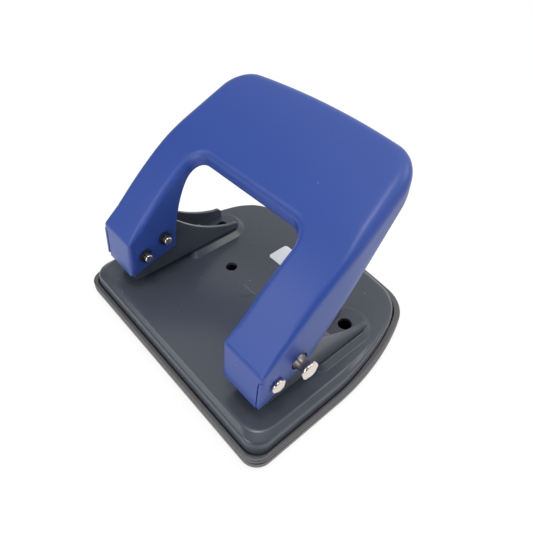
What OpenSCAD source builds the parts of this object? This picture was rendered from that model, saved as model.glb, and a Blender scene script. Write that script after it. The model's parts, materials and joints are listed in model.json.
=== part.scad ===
// Desk punch for two filing holes: a pressed steel base on a soft plastic chip tray,
// two channel brackets that hold the punches, and one wide sheet lever that drives both.
// Millimetres. X runs along the straight front edge, Y to the back, Z up from the desk.

/* [Punching] */
// Distance between the centres of the two holes
hole_spacing = 80; // [76:1:86]
// Distance from the paper stop to the hole centres
hole_margin = 12; // [11:0.5:14]
// Diameter of the punches
punch_d = 6; // [5.4:0.1:6.2]
// Height of the slot that takes the paper
slot_h = 2; // [1.6:0.1:2.4]
// Angle that the lever turns through when it is pressed
press_a = 40; // [34:1:42]

/* [Base] */
// Width of the tray that the base stands in
base_w = 117.2; // [114:0.2:124]
// Depth of the tray from front to back
base_d = 100.8; // [98:0.2:108]
// Height of the steel top above the desk
base_h = 12.8; // [11.8:0.2:16]
// Distance from the front edge of the tray to the line of the punches
punch_setback = 26.8; // [25:0.2:30]
// Thickness of the base sheet
base_sheet = 1.5; // [1:0.1:1.8]
// Radius of the bend along the edge of the base
base_edge_r = 2.2; // [2:0.1:2.8]
// How far the skirt of the base leans in towards the top
skirt_lean = 0.2; // [0.1:0.1:0.8]
// Radius of the front corners of the tray
front_corner_r = 6.8; // [6:0.2:8]
// Radius of the front corners of the steel, at its foot
steel_corner_r = 5.4; // [4.8:0.2:7]
// Radius of the back corners
back_corner_r = 17.6; // [16:0.2:22]
// Radius of the long curve along each side
side_r = 122; // [105:1:140]
// How much further the steel stands in from the tray at the back
back_ledge = 4.4; // [3:0.2:5.4]
// Width of the raised pads under the brackets, at their feet
pad_w = 20; // [19.6:0.1:20.6]
// Diameter of the holes through the raised pads
pad_hole_d = 5.5; // [4:0.1:6]
// Diameter of the two holes between the pads
base_hole_d = 5; // [4:0.1:6]
// Distance between those two holes
base_hole_spacing = 32.6; // [28:0.2:40]

/* [Tray] */
// Height of the rim that grips the base
rim_h = 6.4; // [5.6:0.1:7.4]
// Thickness of the rim
rim_w = 2; // [1.8:0.1:2.6]
// Thickness of the floor
tray_floor = 1.4; // [1:0.1:2]
// Depth of the groove round the rim
rim_groove = 0.6; // [0.3:0.1:0.9]

/* [Brackets] */
// Outer width of each bracket
bracket_w = 14.8; // [13.6:0.1:15.2]
// Thickness of the bracket sheet
bracket_sheet = 1.6; // [1.3:0.1:1.8]
// Height of the cheeks above the base
cheek_h = 24.4; // [23.6:0.1:24.8]
// Reach of the cheeks behind the line of the punches
cheek_reach = 40; // [37:0.5:42]
// Height of the cheek tips above the base
tip_h = 6.4; // [5.8:0.1:8]
// Diameter of the rivets that hold the brackets down
rivet_d = 3; // [2.5:0.1:3.4]

/* [Lever] */
// Outer width of each leg
leg_w = 19.6; // [18.8:0.1:20]
// Thickness of the lever sheet
lever_sheet = 1.2; // [0.9:0.1:1.4]
// Slope of the legs at rest
lever_a = 43; // [41:0.5:45]
// Radius of the long curve of the handle, seen from the side
handle_r = 190; // [160:1:230]
// Reach of the handle behind the line of the punches
handle_reach = 58.4; // [54:0.2:63]
// Angle at which the sides of the handle draw in
handle_taper = 7.5; // [5:0.5:11]
// Radius of the back corners of the handle
handle_corner_r = 14; // [10:0.5:18]
// Depth of the window behind the line of the punches
window_reach = 19.9; // [17:0.1:23]
// Radius of the corners of the window
window_r = 7.2; // [6:0.1:10]
// Bend radius along the back edge of the window
window_edge_r = 4.4; // [3:0.1:4.8]
// Bend radius along the edges of the legs
leg_edge_r = 2.6; // [1.6:0.1:3]
// Bend radius along the edges of the handle
handle_edge_r = 5.1; // [3:0.1:7]

/* [Pins] */
// Diameter of the pivot and drive pins
pin_d = 3.4; // [3:0.1:3.6]
// Distance between the pivot pin and the drive pin
crank = 10.5; // [10:0.1:10.8]
// Angle of the drive pin above the pivot pin at rest
rest_a = 22.4; // [21:0.2:24]
// Height of the pivot pin above the base
pivot_h = 16.5; // [16.2:0.1:16.9]
// Diameter of the pin heads
pin_head_d = 6.4; // [5.6:0.1:7]
// Diameter of the head of the lock knob
knob_d = 7.4; // [7.3:0.1:8.4]
// Distance that the lock knob slides in
knob_travel = 4; // [3.4:0.1:4.2]

/* [Springs] */
// Wire of the return springs
spring_wire = 0.7; // [0.5:0.05:0.8]
// Turns in each return spring
spring_turns = 4; // [3:0.5:4.5]

/* [Hidden] */
$fn = 48;

// Clearances
run_gap = 0.05;
play = 0.2;
seat_gap = 0.3;
cut = 1;

// Heights and places that the pieces share
left = -1;
right = 1;
plate_top = base_h;
pad_top = plate_top + slot_h;
punch_y = punch_setback - base_d / 2;
stop_y = punch_y + hole_margin;
pivot_y = punch_y - crank * cos(rest_a);
pivot_z = plate_top + pivot_h;
drive_z = pivot_z + crank * sin(rest_a);

// Base and tray
side_turn = 22.4;
corner_turn = 81.7;
back_ledge_run = 20;
back_ledge_y = base_d / 2 - 22;
corner_gain = 2.4;
skirt_inset = rim_w + seat_gap;
skirt_foot_drop = 2.8;
ledge_z = rim_h - skirt_foot_drop;
ledge_w = 3;
pad_slope = 2.4;
pad_front_r = 4;
pad_reach = 24.8;
pad_hole_reach = 23.7;
base_hole_reach = 10.9;
pad_back_y = stop_y + pad_reach;
pad_hole_y = stop_y + pad_hole_reach;
base_hole_y = stop_y + base_hole_reach;
mark_y = stop_y - 0.5;
mark_size = 9;
mark_h = 0.4;

// Brackets
bracket_bend_r = 2;
web_top = pad_top + bracket_sheet;
rivet_head_h = 1.3;
rivet_head_d = 1.6 * rivet_d;
rivet_face_d = 1.2 * rivet_d;
rivet_wall_gap = 0.3;
rivet_head_gap = 0.4;
web_margin = 0.8;
first_rivet_y = stop_y + pad_slope + base_sheet + rivet_wall_gap + rivet_head_d / 2;
rivet_ys = [first_rivet_y, first_rivet_y + rivet_head_d + rivet_head_gap];
web_back_y = rivet_ys[1] + rivet_head_d / 2 + web_margin;
peak_reach = 7.6;
cheek_front = 5.6;
cheek_front_cut = [5.8, 2];
cheek_foot_cut = [2, 2.5];
cheek_tip_r = 2.4;
cheek_sweep_r = 60;
slot_w = pin_d + 2 * play;
slot_over_a = 1.4;

// Lever
lever_front = 6.4;
lever_rise = 8.3;
bend_start = 5.7;
tab_lean = 5.5;
tab_drop = 16.1;
heel_y = 15.2;
heel_z = 2.2;
heel_a = 53;
skirt_r = 215;
skirt_turn = 20.8;
inner_heel_y = 14.2;
inner_heel_z = -2.4;
flange_drop = 5;
wall_pulls = [[0.1, 0.3], [0.26, 0.77]];
front_edge_r = 1.6;
slit_w = 0.5;
slit_top = 2.5;
leg_x = hole_spacing / 2;
lever_floor_z = plate_top + 1;

// Pins, clips and knob
head_h = 1.8;
pin_end = 3;
chamfer = 0.4;
groove_d = pin_d - 0.9;
clip_t = 0.7;
clip_d = pin_d + 2.4;
clip_gap = 0.1;
clip_mouth = 0.7;
clip_notch = 0.24;
collar_d = pin_d + 2.8;
waist_d = pin_d + 1.1;
knob_head_h = 1.4;
leg_half = leg_w / 2;

// Punches and springs
punch_rest_z = pad_top + 0.5;
punch_top_z = drive_z + 4;
eye_shift = crank * (1 - cos(rest_a)) / 2;
punch_clip_z = drive_z - collar_d / 2 - 1.5;
washer_t = 0.8;
washer_d = punch_d + 3;
washer_z = punch_clip_z - washer_t;
punch_groove_d = punch_d - 1.2;
punch_clip_d = punch_d + 2.2;
punch_hollow = 1;
punch_chamfer = 0.6;
spring_gap = 0.1;
spring_r = punch_d / 2 + 0.4 + spring_wire / 2;
spring_low = web_top + spring_gap + spring_wire / 2;
spring_high = washer_z - spring_gap - spring_wire / 2;

// Outlines are lists of [x, y, direction that the edge faces]
function arc(centre, r, a0, a1, n, from = 0) =
    [for (i = [from:n]) let (a = a0 + (a1 - a0) * i / n)
        [centre.x + r * cos(a), centre.y + r * sin(a), a]];
function inset(p, d) = [p.x - d * cos(p[2]), p.y - d * sin(p[2])];
function flip(list) = [for (i = [len(list) - 1:-1:0]) list[i]];
function mirror_x(list) = [for (p = flip(list)) [-p.x, p.y, 180 - p[2]]];

// One side of an outline from its straight part to the middle of its back:
// a long side curve, a straight run, a corner and a bowed back
function side_and_back(half_w, back_y, bow_r, bow_a, run, corner_r, corner_a, counts) =
    let (
        corner_x = half_w - bow_r + (bow_r - corner_r) * cos(bow_a) - run * sin(bow_a),
        corner_dy = (bow_r - corner_r) * sin(bow_a) + run * cos(bow_a),
        back_r = corner_r + corner_x / cos(corner_a),
        back_dy = corner_dy + (corner_r - back_r) * sin(corner_a),
        side_y = back_y - back_dy - back_r
    )
    concat(
        arc([half_w - bow_r, side_y], bow_r, 0, bow_a, counts[0]),
        arc([corner_x, side_y + corner_dy], corner_r, bow_a, corner_a, counts[1], run > 0 ? 0 : 1),
        arc([0, side_y + back_dy], back_r, corner_a, 90, counts[2], 1));

// Outline of the tray and the base, drawn in by d, with its own radius for the front corners;
// the steel is drawn in further towards the back, where the tray has a wider ledge
outline_counts = [7, 7, 4];
base_back = side_and_back(base_w / 2, base_d / 2, side_r, side_turn, 0, back_corner_r, corner_turn,
    outline_counts);
function blend(t) = let (c = max(0, min(1, t))) c * c * (3 - 2 * c);
function base_ring(d, z, corner_r, ledge) =
    let (
        corner = [base_w / 2 - d - corner_r, d + corner_r - base_d / 2],
        half = concat(
            arc(corner, corner_r, -90, 0, 6),
            [for (p = base_back)
                [each inset(p, d + ledge * blend((p.y - back_ledge_y) / back_ledge_run)), p[2]]]),
        full = concat(half, [for (i = [1:len(half) - 1]) mirror_x(half)[i]])
    )
    [for (p = full) [p.x, p.y, z]];
function tray_ring(d, z) = base_ring(d, z, front_corner_r - d, 0);
function steel_ring(d, z) =
    base_ring(d, z, steel_corner_r + corner_gain * (d - skirt_inset), back_ledge);

// Outline of a raised pad about x = 0, drawn in by d: square front, round back
function pad_ring(d, z) =
    let (
        r = pad_w / 2,
        half = concat(
            arc([r - pad_front_r, stop_y + pad_front_r], pad_front_r, -90, 0, 4),
            arc([0, pad_back_y], r, 0, 90, 8)),
        full = concat(half, [for (i = [1:len(half) - 1]) mirror_x(half)[i]])
    )
    [for (p = full) [inset(p, d).x, inset(p, d).y, z]];

// Solid through a list of rings with equal counts, closed at both ends
module loft(rings) {
    n = len(rings[0]);
    last = (len(rings) - 1) * n;
    sides = [for (k = [0:len(rings) - 2]) for (i = [0:n - 1])
        let (a = k * n + i, b = k * n + (i + 1) % n)
        each [[a, a + n, b + n], [a, b + n, b]]];
    polyhedron(
        points = [for (r = rings) each r],
        faces = concat([[for (i = [0:n - 1]) i]], sides, [[for (i = [n - 1:-1:0]) last + i]]));
}

// Draws a side view, given in [y, z], as a slab from x0 to x1
module side_slab(x0, x1) {
    translate([x0, 0, 0])
        rotate([90, 0, 90])
            linear_extrude(height = x1 - x0)
                children();
}

// Places children at the leg on one side, with their +Z pointing out of the part
module at_leg(side, y, z) {
    translate([side * leg_x, y, z])
        rotate([0, side * 90, 0])
            children();
}

module base_shell() {
    top_inset = skirt_inset + skirt_lean;
    inner_r = base_edge_r - base_sheet;
    bend = [0, 30, 60, 90];
    loft(concat(
        [for (a = flip(bend)) steel_ring(top_inset + base_edge_r - inner_r * cos(a),
            plate_top - base_edge_r + inner_r * sin(a))],
        [steel_ring(skirt_inset + base_sheet, ledge_z), steel_ring(skirt_inset, ledge_z)],
        [for (a = bend) steel_ring(top_inset + base_edge_r * (1 - cos(a)),
            plate_top - base_edge_r * (1 - sin(a)))]));
}

module pad_solid() {
    loft([pad_ring(0, plate_top - base_sheet / 2), pad_ring(0, plate_top), pad_ring(pad_slope, pad_top)]);
}

module pad_hollow() {
    loft([pad_ring(base_sheet, plate_top - base_sheet - cut),
        pad_ring(base_sheet, plate_top - base_sheet),
        pad_ring(base_sheet + pad_slope, pad_top - base_sheet)]);
}

module centre_mark() {
    translate([0, mark_y, plate_top - mark_h])
        linear_extrude(height = 2 * mark_h)
            polygon([[0, 0], [mark_size / 2, mark_size], [-mark_size / 2, mark_size]]);
}

module base_plate() {
    color("slategray")
        difference() {
            union() {
                base_shell();
                for (side = [left, right])
                    translate([side * leg_x, 0, 0])
                        pad_solid();
                centre_mark();
            }
            for (side = [left, right]) {
                translate([side * leg_x, 0, 0])
                    pad_hollow();
                translate([side * leg_x, punch_y, 0])
                    cylinder(d = punch_d + 2 * run_gap, h = plate_top + cut);
                translate([side * leg_x, pad_hole_y, 0])
                    cylinder(d = pad_hole_d, h = pad_top + cut);
                translate([side * base_hole_spacing / 2, base_hole_y, 0])
                    cylinder(d = base_hole_d, h = plate_top + cut);
                for (y = rivet_ys)
                    translate([side * leg_x, y, 0])
                        cylinder(d = rivet_d, h = pad_top + cut);
            }
        }
}

module chip_tray() {
    round = 0.8;
    foot_r = 2.2;
    channel_z = rim_h - 1.9;
    color("dimgray")
        loft([
            tray_ring(foot_r, 0),
            tray_ring(foot_r * (1 - sin(30)), foot_r * (1 - cos(30))),
            tray_ring(foot_r * (1 - sin(60)), foot_r * (1 - cos(60))),
            tray_ring(0, channel_z - rim_groove),
            tray_ring(rim_groove, channel_z - rim_groove / 3),
            tray_ring(rim_groove, channel_z + rim_groove / 3),
            tray_ring(0, channel_z + rim_groove),
            tray_ring(0, rim_h - round),
            tray_ring(round, rim_h),
            steel_ring(rim_w, rim_h),
            steel_ring(rim_w, ledge_z),
            steel_ring(rim_w + ledge_w, ledge_z),
            steel_ring(rim_w + ledge_w, tray_floor)]);
}

// Side view of a bracket cheek: square front under the lever, hollow sweep down to a round tip
module cheek_outline() {
    peak = [punch_y + peak_reach, plate_top + cheek_h];
    tip = [punch_y + cheek_reach - cheek_tip_r, plate_top + tip_h - cheek_tip_r];
    chord = tip + [0, cheek_tip_r] - peak;
    half = norm(chord) / 2;
    sag_a = asin(half / cheek_sweep_r);
    chord_a = atan2(chord.y, chord.x);
    rise = sqrt(pow(cheek_sweep_r, 2) - pow(half, 2));
    centre = peak + chord / 2 + rise * [-sin(chord_a), cos(chord_a)];
    sweep = [for (i = [0:10]) let (a = chord_a - 90 - sag_a + 2 * sag_a * i / 10)
        centre + cheek_sweep_r * [cos(a), sin(a)]];
    nose = [for (a = [75:-15:0]) tip + cheek_tip_r * [cos(a), sin(a)]];
    front_y = pivot_y - cheek_front;
    polygon(concat(
        [[front_y + cheek_foot_cut.x, pad_top],
         [front_y, pad_top + cheek_foot_cut.y],
         [front_y, pivot_z + cheek_front_cut.y],
         [front_y + cheek_front_cut.x, plate_top + cheek_h]],
        sweep,
        nose,
        [[tip.x + cheek_tip_r, pad_top]]));
}

// Curved slot that the drive pin moves along, about the pivot
module pin_slot() {
    ends = [rest_a + slot_over_a, rest_a - press_a - slot_over_a];
    track = [for (i = [0:8]) ends[0] + (ends[1] - ends[0]) * i / 8];
    polygon(concat(
        [for (a = track) [pivot_y, pivot_z] + (crank + slot_w / 2) * [cos(a), sin(a)]],
        [for (a = flip(track)) [pivot_y, pivot_z] + (crank - slot_w / 2) * [cos(a), sin(a)]]));
    for (a = [rest_a, rest_a - press_a])
        translate([pivot_y, pivot_z] + crank * [cos(a), sin(a)])
            circle(d = slot_w);
}

// Channel section of a bracket, as its sheet is bent: two cheeks on a web
module channel_section() {
    half = bracket_w / 2;
    r = bracket_bend_r;
    difference() {
        union() {
            translate([-half, pad_top + r])
                square([bracket_w, cheek_h]);
            translate([r - half, pad_top])
                square([bracket_w - 2 * r, r + cut]);
            for (side = [left, right])
                translate([side * (half - r), pad_top + r])
                    circle(r = r);
        }
        translate([bracket_sheet - half, web_top])
            square([bracket_w - 2 * bracket_sheet, cheek_h + cut]);
    }
}

// The bracket on the right has larger slot ends in its outer cheek, where the lock knob goes in
module bracket(side) {
    inner_half = bracket_w / 2 - bracket_sheet;
    outer = bracket_w / 2 + cut;
    color("darkslategray")
        translate([side * leg_x, 0, 0])
            difference() {
                intersection() {
                    side_slab(-bracket_w / 2, bracket_w / 2)
                        cheek_outline();
                    translate([0, punch_y + cheek_reach + cut, 0])
                        rotate([90, 0, 0])
                            linear_extrude(height = 3 * cheek_reach)
                                channel_section();
                }
                translate([-inner_half, web_back_y, pad_top - cut])
                    cube([2 * inner_half, cheek_reach, bracket_sheet + 2 * cut]);
                side_slab(-outer, outer)
                    pin_slot();
                translate([-outer, pivot_y, pivot_z])
                    rotate([0, 90, 0])
                        cylinder(d = pin_d + 2 * run_gap, h = 2 * outer);
                translate([0, punch_y, pad_top - cut])
                    cylinder(d = punch_d + 2 * run_gap, h = bracket_sheet + 2 * cut);
                for (y = rivet_ys)
                    translate([0, y, pad_top - cut])
                        cylinder(d = rivet_d, h = bracket_sheet + 2 * cut);
                if (side == right)
                    for (a = [rest_a, rest_a - press_a])
                        translate([0, pivot_y + crank * cos(a), pivot_z + crank * sin(a)])
                            rotate([0, 90, 0])
                                cylinder(d = collar_d + 2 * play, h = outer);
            }
}

module left_bracket() { bracket(left); }
module right_bracket() { bracket(right); }

module bracket_rivets() {
    under = pad_top - base_sheet;
    color("gray")
        for (side = [left, right])
            for (y = rivet_ys)
                translate([side * leg_x, y, 0])
                    rotate_extrude()
                        polygon([[0, under - rivet_head_h], [rivet_face_d / 2, under - rivet_head_h],
                            [rivet_head_d / 2, under], [rivet_d / 2, under], [rivet_d / 2, web_top],
                            [rivet_head_d / 2, web_top], [rivet_face_d / 2, web_top + rivet_head_h],
                            [0, web_top + rivet_head_h]]);
}

// Round punch with a hollow-ground cutting end, a groove for its clip and a long eye for the pin
module punch(side) {
    eye_run = eye_shift + play;
    eye_d = pin_d + 2 * play;
    color("silver")
        translate([side * leg_x, 0, 0])
            difference() {
                translate([0, punch_y, 0])
                    rotate_extrude()
                        polygon([[0, punch_rest_z + punch_hollow], [punch_d / 2, punch_rest_z],
                            [punch_d / 2, punch_clip_z], [punch_groove_d / 2, punch_clip_z],
                            [punch_groove_d / 2, punch_clip_z + clip_t + clip_gap],
                            [punch_d / 2, punch_clip_z + clip_t + clip_gap],
                            [punch_d / 2, punch_top_z - punch_chamfer],
                            [punch_d / 2 - punch_chamfer, punch_top_z],
                            [0, punch_top_z]]);
                for (shift = [-1, 1])
                    translate([-punch_d, punch_y + eye_shift + shift * eye_run / 2, drive_z])
                        rotate([0, 90, 0])
                            cylinder(d = eye_d, h = 2 * punch_d);
                translate([-punch_d, punch_y + eye_shift - eye_run / 2, drive_z - eye_d / 2])
                    cube([2 * punch_d, eye_run, eye_d]);
            }
}

module left_punch() { punch(left); }
module right_punch() { punch(right); }

// Flat retaining clip for a groove: round outside, open mouth and two relief notches
module clip_plate(outer_d, inner_d) {
    mouth = inner_d * clip_mouth;
    linear_extrude(height = clip_t)
        difference() {
            circle(d = outer_d);
            circle(d = inner_d + 2 * run_gap);
            translate([0, -mouth / 2])
                square([outer_d, mouth]);
            for (turn = [120, 240])
                rotate(turn)
                    translate([inner_d / 2 + clip_gap, 0])
                        circle(d = (outer_d - inner_d) * clip_notch);
        }
}

module punch_clip(side) {
    color("black")
        translate([side * leg_x, punch_y, punch_clip_z + clip_gap / 2])
            rotate(-90)
                clip_plate(punch_clip_d, punch_groove_d);
}

module left_punch_clip() { punch_clip(left); }
module right_punch_clip() { punch_clip(right); }

module spring_washer(side) {
    color("gray")
        translate([side * leg_x, punch_y, washer_z])
            difference() {
                cylinder(d = washer_d, h = washer_t);
                translate([0, 0, -cut])
                    cylinder(d = punch_d + 2 * run_gap, h = washer_t + 2 * cut);
            }
}

module left_spring_washer() { spring_washer(left); }
module right_spring_washer() { spring_washer(right); }

// Return spring: one wire wound round the punch, with a short straight run at each end
ring_steps = 8;
wire_sides = 6;
coil_rise = spring_high - spring_low;
coil_steps = spring_turns * ring_steps;
function coil_point(i) =
    let (a = 360 * i / ring_steps)
    [spring_r * cos(a), spring_r * sin(a), spring_low + coil_rise * i / coil_steps];
function coil_tangent(i) =
    let (a = 360 * i / ring_steps, rise = coil_rise / (2 * PI * spring_r * spring_turns))
    [-sin(a), cos(a), rise] / norm([1, rise]);
coil_path = concat(
    [coil_point(0) - spring_wire * [coil_tangent(0).x, coil_tangent(0).y, 0]],
    [for (i = [0:coil_steps]) coil_point(i)],
    [coil_point(coil_steps) + spring_wire * [coil_tangent(coil_steps).x, coil_tangent(coil_steps).y, 0]]);
function wire_ring(k) =
    let (
        i = max(0, min(coil_steps, k - 1)),
        a = 360 * i / ring_steps,
        out = [cos(a), sin(a), 0],
        up = cross(out, coil_tangent(i))
    )
    [for (j = [0:wire_sides - 1]) let (b = 360 * j / wire_sides)
        coil_path[k] + spring_wire / 2 * (cos(b) * out + sin(b) * up)];
coil_gaps = [for (i = [0:coil_steps - ring_steps]) for (j = [i + ring_steps - 2:coil_steps])
    norm(coil_point(i) - coil_point(j)) - spring_wire];
echo(least_spring_gap = min(coil_gaps));

module spring(side) {
    color("silver")
        translate([side * leg_x, punch_y, 0])
            loft([for (k = [0:len(coil_path) - 1]) wire_ring(k)]);
}

module left_spring() { spring(left); }
module right_spring() { spring(right); }

// Side view of the top of the lever: straight legs, then one long curve to the back of the handle
lever_front_y = pivot_y - lever_front;
lever_front_z = pivot_z + lever_rise;
bend_y = pivot_y + bend_start;
bend_z = lever_front_z + (bend_y - lever_front_y) * tan(lever_a);
sweep_y = bend_y + handle_r * sin(lever_a);
sweep_z = bend_z - handle_r * cos(lever_a);
function top_z(y, d) =
    y < sweep_y - (handle_r - d) * sin(lever_a)
        ? lever_front_z + (y - lever_front_y) * tan(lever_a) - d / cos(lever_a)
        : sweep_z + sqrt(pow(handle_r - d, 2) - pow(y - sweep_y, 2));

// Outer edge of the lever and edge of its window, right half, paired point by point
lever_half_w = leg_x + leg_half;
window_half_w = leg_x - leg_half;
handle_back_y = punch_y + handle_reach;
window_y = punch_y + window_reach;
handle_run = 17;
handle_bow_r = 92;
handle_corner_turn = 84;
fan_counts = [3, 6, 3];
handle_fan = side_and_back(lever_half_w, handle_back_y, handle_bow_r, handle_taper, handle_run,
    handle_corner_r, handle_corner_turn, fan_counts);
window_fan = concat(
    [for (p = arc([window_half_w - window_r, window_y - window_r], window_r, 0, 90, 7))
        [p.x, p.y, p[2] + 180]],
    [for (i = [1:6]) [(window_half_w - window_r) * (1 - i / 6), window_y, 270]]);
leg_end_y = min(handle_fan[0].y, window_fan[0].y) - 1;
leg_steps = 6;

// Stations along one half of the lever: [outer point, window point, drop of the top at the front bend]
function lever_stations(d) =
    let (front = lever_front_y + d, r = front_edge_r - d / 2)
    concat(
        [for (a = [0, 30, 60]) let (y = front + r * (1 - cos(a)))
            [[lever_half_w, y, 0], [window_half_w, y, 180], r * (1 - sin(a))]],
        [for (i = [0:leg_steps]) let (y = front + r + (leg_end_y - front - r) * i / leg_steps)
            [[lever_half_w, y, 0], [window_half_w, y, 180], 0]],
        [for (i = [0:len(handle_fan) - 1]) [handle_fan[i], window_fan[i], 0]]);

// The bends grow softer from the legs to the handle, and from the legs to the back of the window
function edge_r(y) =
    let (t = blend((y - leg_end_y) / (handle_back_y - leg_end_y) * 2))
    leg_edge_r + (handle_edge_r - leg_edge_r) * t;
function inner_edge_r(facing) =
    leg_edge_r + (window_edge_r - leg_edge_r) * blend((facing - 180) / 90);

// Cross-section at one station, drawn in by d: window side, bend, top, bend, outer side
top_steps = 5;
bend_angles = [0, 30, 60, 90];
function bend_side(p, r, d, drop, floor_z) = concat(
    [[inset(p, d).x, inset(p, d).y, floor_z]],
    [for (a = bend_angles) let (q = inset(p, d + (r - d) * (1 - cos(a))))
        [q.x, q.y, top_z(q.y, d) - (r - d) * (1 - sin(a)) - drop]]);
function lever_section(station, d, floor_z) =
    let (
        inner = bend_side(station[1], inner_edge_r(station[1][2]), d, station[2], floor_z),
        outer = bend_side(station[0], edge_r(station[0].y), d, station[2], floor_z),
        from = inner[len(inner) - 1],
        to = outer[len(outer) - 1],
        across = [for (i = [1:top_steps - 1]) let (q = from + (to - from) * i / top_steps)
            [q.x, q.y, top_z(q.y, d) - station[2]]]
    )
    concat(inner, across, flip(outer));

// The front tab leans out towards its foot
function lean_front(ring) = [for (p = ring)
    [p.x, p.y - tan(tab_lean) * (top_z(lever_front_y, 0) - p.z), p.z]];

// The whole channel of the lever as one solid: right leg, handle, left leg
module lever_body(d, floor_z) {
    stations = lever_stations(d);
    sections = [for (i = [0:len(stations) - 1]) let (s = lever_section(stations[i], d, floor_z))
        i == 0 ? lean_front(s) : s];
    mirrored = [for (i = [len(sections) - 2:-1:0]) [for (p = sections[i]) [-p.x, p.y, p.z]]];
    loft(concat(sections, mirrored));
}

// Side views of what is cut away below the outer walls, the window walls and the back wall;
// the feet of both walls of a leg run up from the foot of its front tab
tab_foot = lever_front + tab_drop * tan(tab_lean);
foot_a = atan2(heel_z + tab_drop - lever_rise, heel_y + tab_foot);
inner_foot_a = atan2(inner_heel_z + tab_drop - lever_rise, inner_heel_y + tab_foot);
module below_outer_walls() {
    low = -base_d;
    heel = [pivot_y + heel_y, pivot_z + heel_z];
    skirt = [for (i = [0:8]) let (a = heel_a - skirt_turn * i / 8)
        heel + skirt_r * [sin(heel_a) - sin(a), cos(a) - cos(heel_a)]];
    polygon(concat(
        [[pivot_y + low, low], [pivot_y + low, heel.y + (low - heel_y) * tan(foot_a)]],
        skirt,
        [[skirt[8].x, low]]));
}

module below_window_walls() {
    low = -base_d;
    heel = [pivot_y + inner_heel_y, pivot_z + inner_heel_z];
    flange = [window_y, top_z(window_y, 0) - flange_drop];
    rise = flange - heel;
    pulls = [for (p = wall_pulls) [p.x * rise.x, p.y * rise.y]];
    curve = [for (i = [1:9]) let (t = i / 9, u = 1 - t)
        heel + 3 * u * u * t * pulls[0] + 3 * u * t * t * pulls[1] + t * t * t * rise];
    polygon(concat(
        [[pivot_y + low, low], [pivot_y + low, heel.y + (low - inner_heel_y) * tan(inner_foot_a)], heel],
        curve,
        [[flange.x + window_r, flange.y], [flange.x + window_r, low]]));
}

module below_back_wall() {
    intersection() {
        below_outer_walls();
        translate([window_y + window_r, -base_d])
            square(3 * base_d);
    }
}

module lever() {
    slit_x = lever_half_w - lever_sheet - slit_w;
    color("royalblue")
        difference() {
            lever_body(0, lever_floor_z);
            lever_body(lever_sheet, lever_floor_z - cut);
            side_slab(-leg_x, leg_x) {
                below_window_walls();
                below_back_wall();
            }
            side_slab(-lever_half_w - cut, -leg_x)
                below_outer_walls();
            side_slab(leg_x, lever_half_w + cut)
                below_outer_walls();
            for (side = [left, right]) {
                at_leg(side, pivot_y, pivot_z)
                    cylinder(d = pin_d + 2 * run_gap, h = 2 * leg_w, center = true);
                at_leg(side, punch_y, drive_z)
                    cylinder(d = pin_d + 2 * run_gap, h = 2 * leg_w, center = true);
                translate([side * (slit_x + slit_w / 2), lever_front_y, lever_front_z - tab_drop])
                    rotate([-tab_lean, 0, 0])
                        cube([slit_w, 6 * lever_sheet, 2 * (tab_drop - slit_top)], center = true);
            }
            at_leg(right, punch_y, drive_z)
                cylinder(d = collar_d + 2 * run_gap, h = leg_w);
        }
}

// Half profiles of the turned pins about their axis: the grooved inner end, and a low round head
groove_z = -leg_half - clip_gap;
groove_end_z = groove_z - clip_t - clip_gap;
pin_end_z = -leg_half - pin_end;
grooved_end = [[0, pin_end_z], [pin_d / 2 - chamfer, pin_end_z], [pin_d / 2, pin_end_z + chamfer],
    [pin_d / 2, groove_end_z], [groove_d / 2, groove_end_z], [groove_d / 2, groove_z],
    [pin_d / 2, groove_z]];
function round_head(d, z, h) = [[d / 2 - chamfer, z], [d / 2, z + chamfer], [d / 2, z + h - 2 * chamfer],
    [d / 2 - chamfer, z + h - chamfer / 2], [d / 2 - 3 * chamfer, z + h], [0, z + h]];

// Turned pin with its head outside the leg
module headed_pin(side, y, z) {
    seat = leg_half + clip_gap;
    color("gainsboro")
        at_leg(side, y, z)
            rotate_extrude()
                polygon(concat(grooved_end, [[pin_d / 2, seat]], round_head(pin_head_d, seat, head_h)));
}

module left_pivot_pin() { headed_pin(left, pivot_y, pivot_z); }
module right_pivot_pin() { headed_pin(right, pivot_y, pivot_z); }
module left_drive_pin() { headed_pin(left, punch_y, drive_z); }

// Drive pin of the right leg, with the collar, waisted neck and head of the lever lock
module lock_knob() {
    collar = bracket_w / 2 + seat_gap;
    neck = leg_half + play;
    head = leg_half + knob_travel + seat_gap;
    waist = [for (i = [0:6]) let (a = 30 * i)
        [collar_d / 2 - (collar_d - waist_d) / 2 * sin(a), neck + (head - neck) * i / 6]];
    color("gainsboro")
        at_leg(right, punch_y, drive_z)
            rotate_extrude()
                polygon(concat(grooved_end, [[pin_d / 2, collar], [collar_d / 2, collar]], waist,
                    round_head(knob_d, head, knob_head_h)));
}

module leg_clip(side, y, z) {
    color("black")
        at_leg(side, y, z)
            translate([0, 0, -leg_half - clip_t - clip_gap * 1.5])
                rotate(90)
                    clip_plate(clip_d, groove_d);
}

module left_pivot_clip() { leg_clip(left, pivot_y, pivot_z); }
module right_pivot_clip() { leg_clip(right, pivot_y, pivot_z); }
module left_drive_clip() { leg_clip(left, punch_y, drive_z); }
module lock_clip() { leg_clip(right, punch_y, drive_z); }

base_plate();
chip_tray();
left_bracket();
right_bracket();
bracket_rivets();
left_punch();
right_punch();
left_punch_clip();
right_punch_clip();
left_spring_washer();
right_spring_washer();
left_spring();
right_spring();
lever();
left_pivot_pin();
right_pivot_pin();
left_drive_pin();
lock_knob();
left_pivot_clip();
right_pivot_clip();
left_drive_clip();
lock_clip();
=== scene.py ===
"""Looks of a desk punch for two filing holes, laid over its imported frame."""

import json
from math import asin, atan2, cos, hypot, pi, radians, sin, sqrt, tan, tau

import bmesh
import bpy
from mathutils import Matrix, Vector


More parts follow.
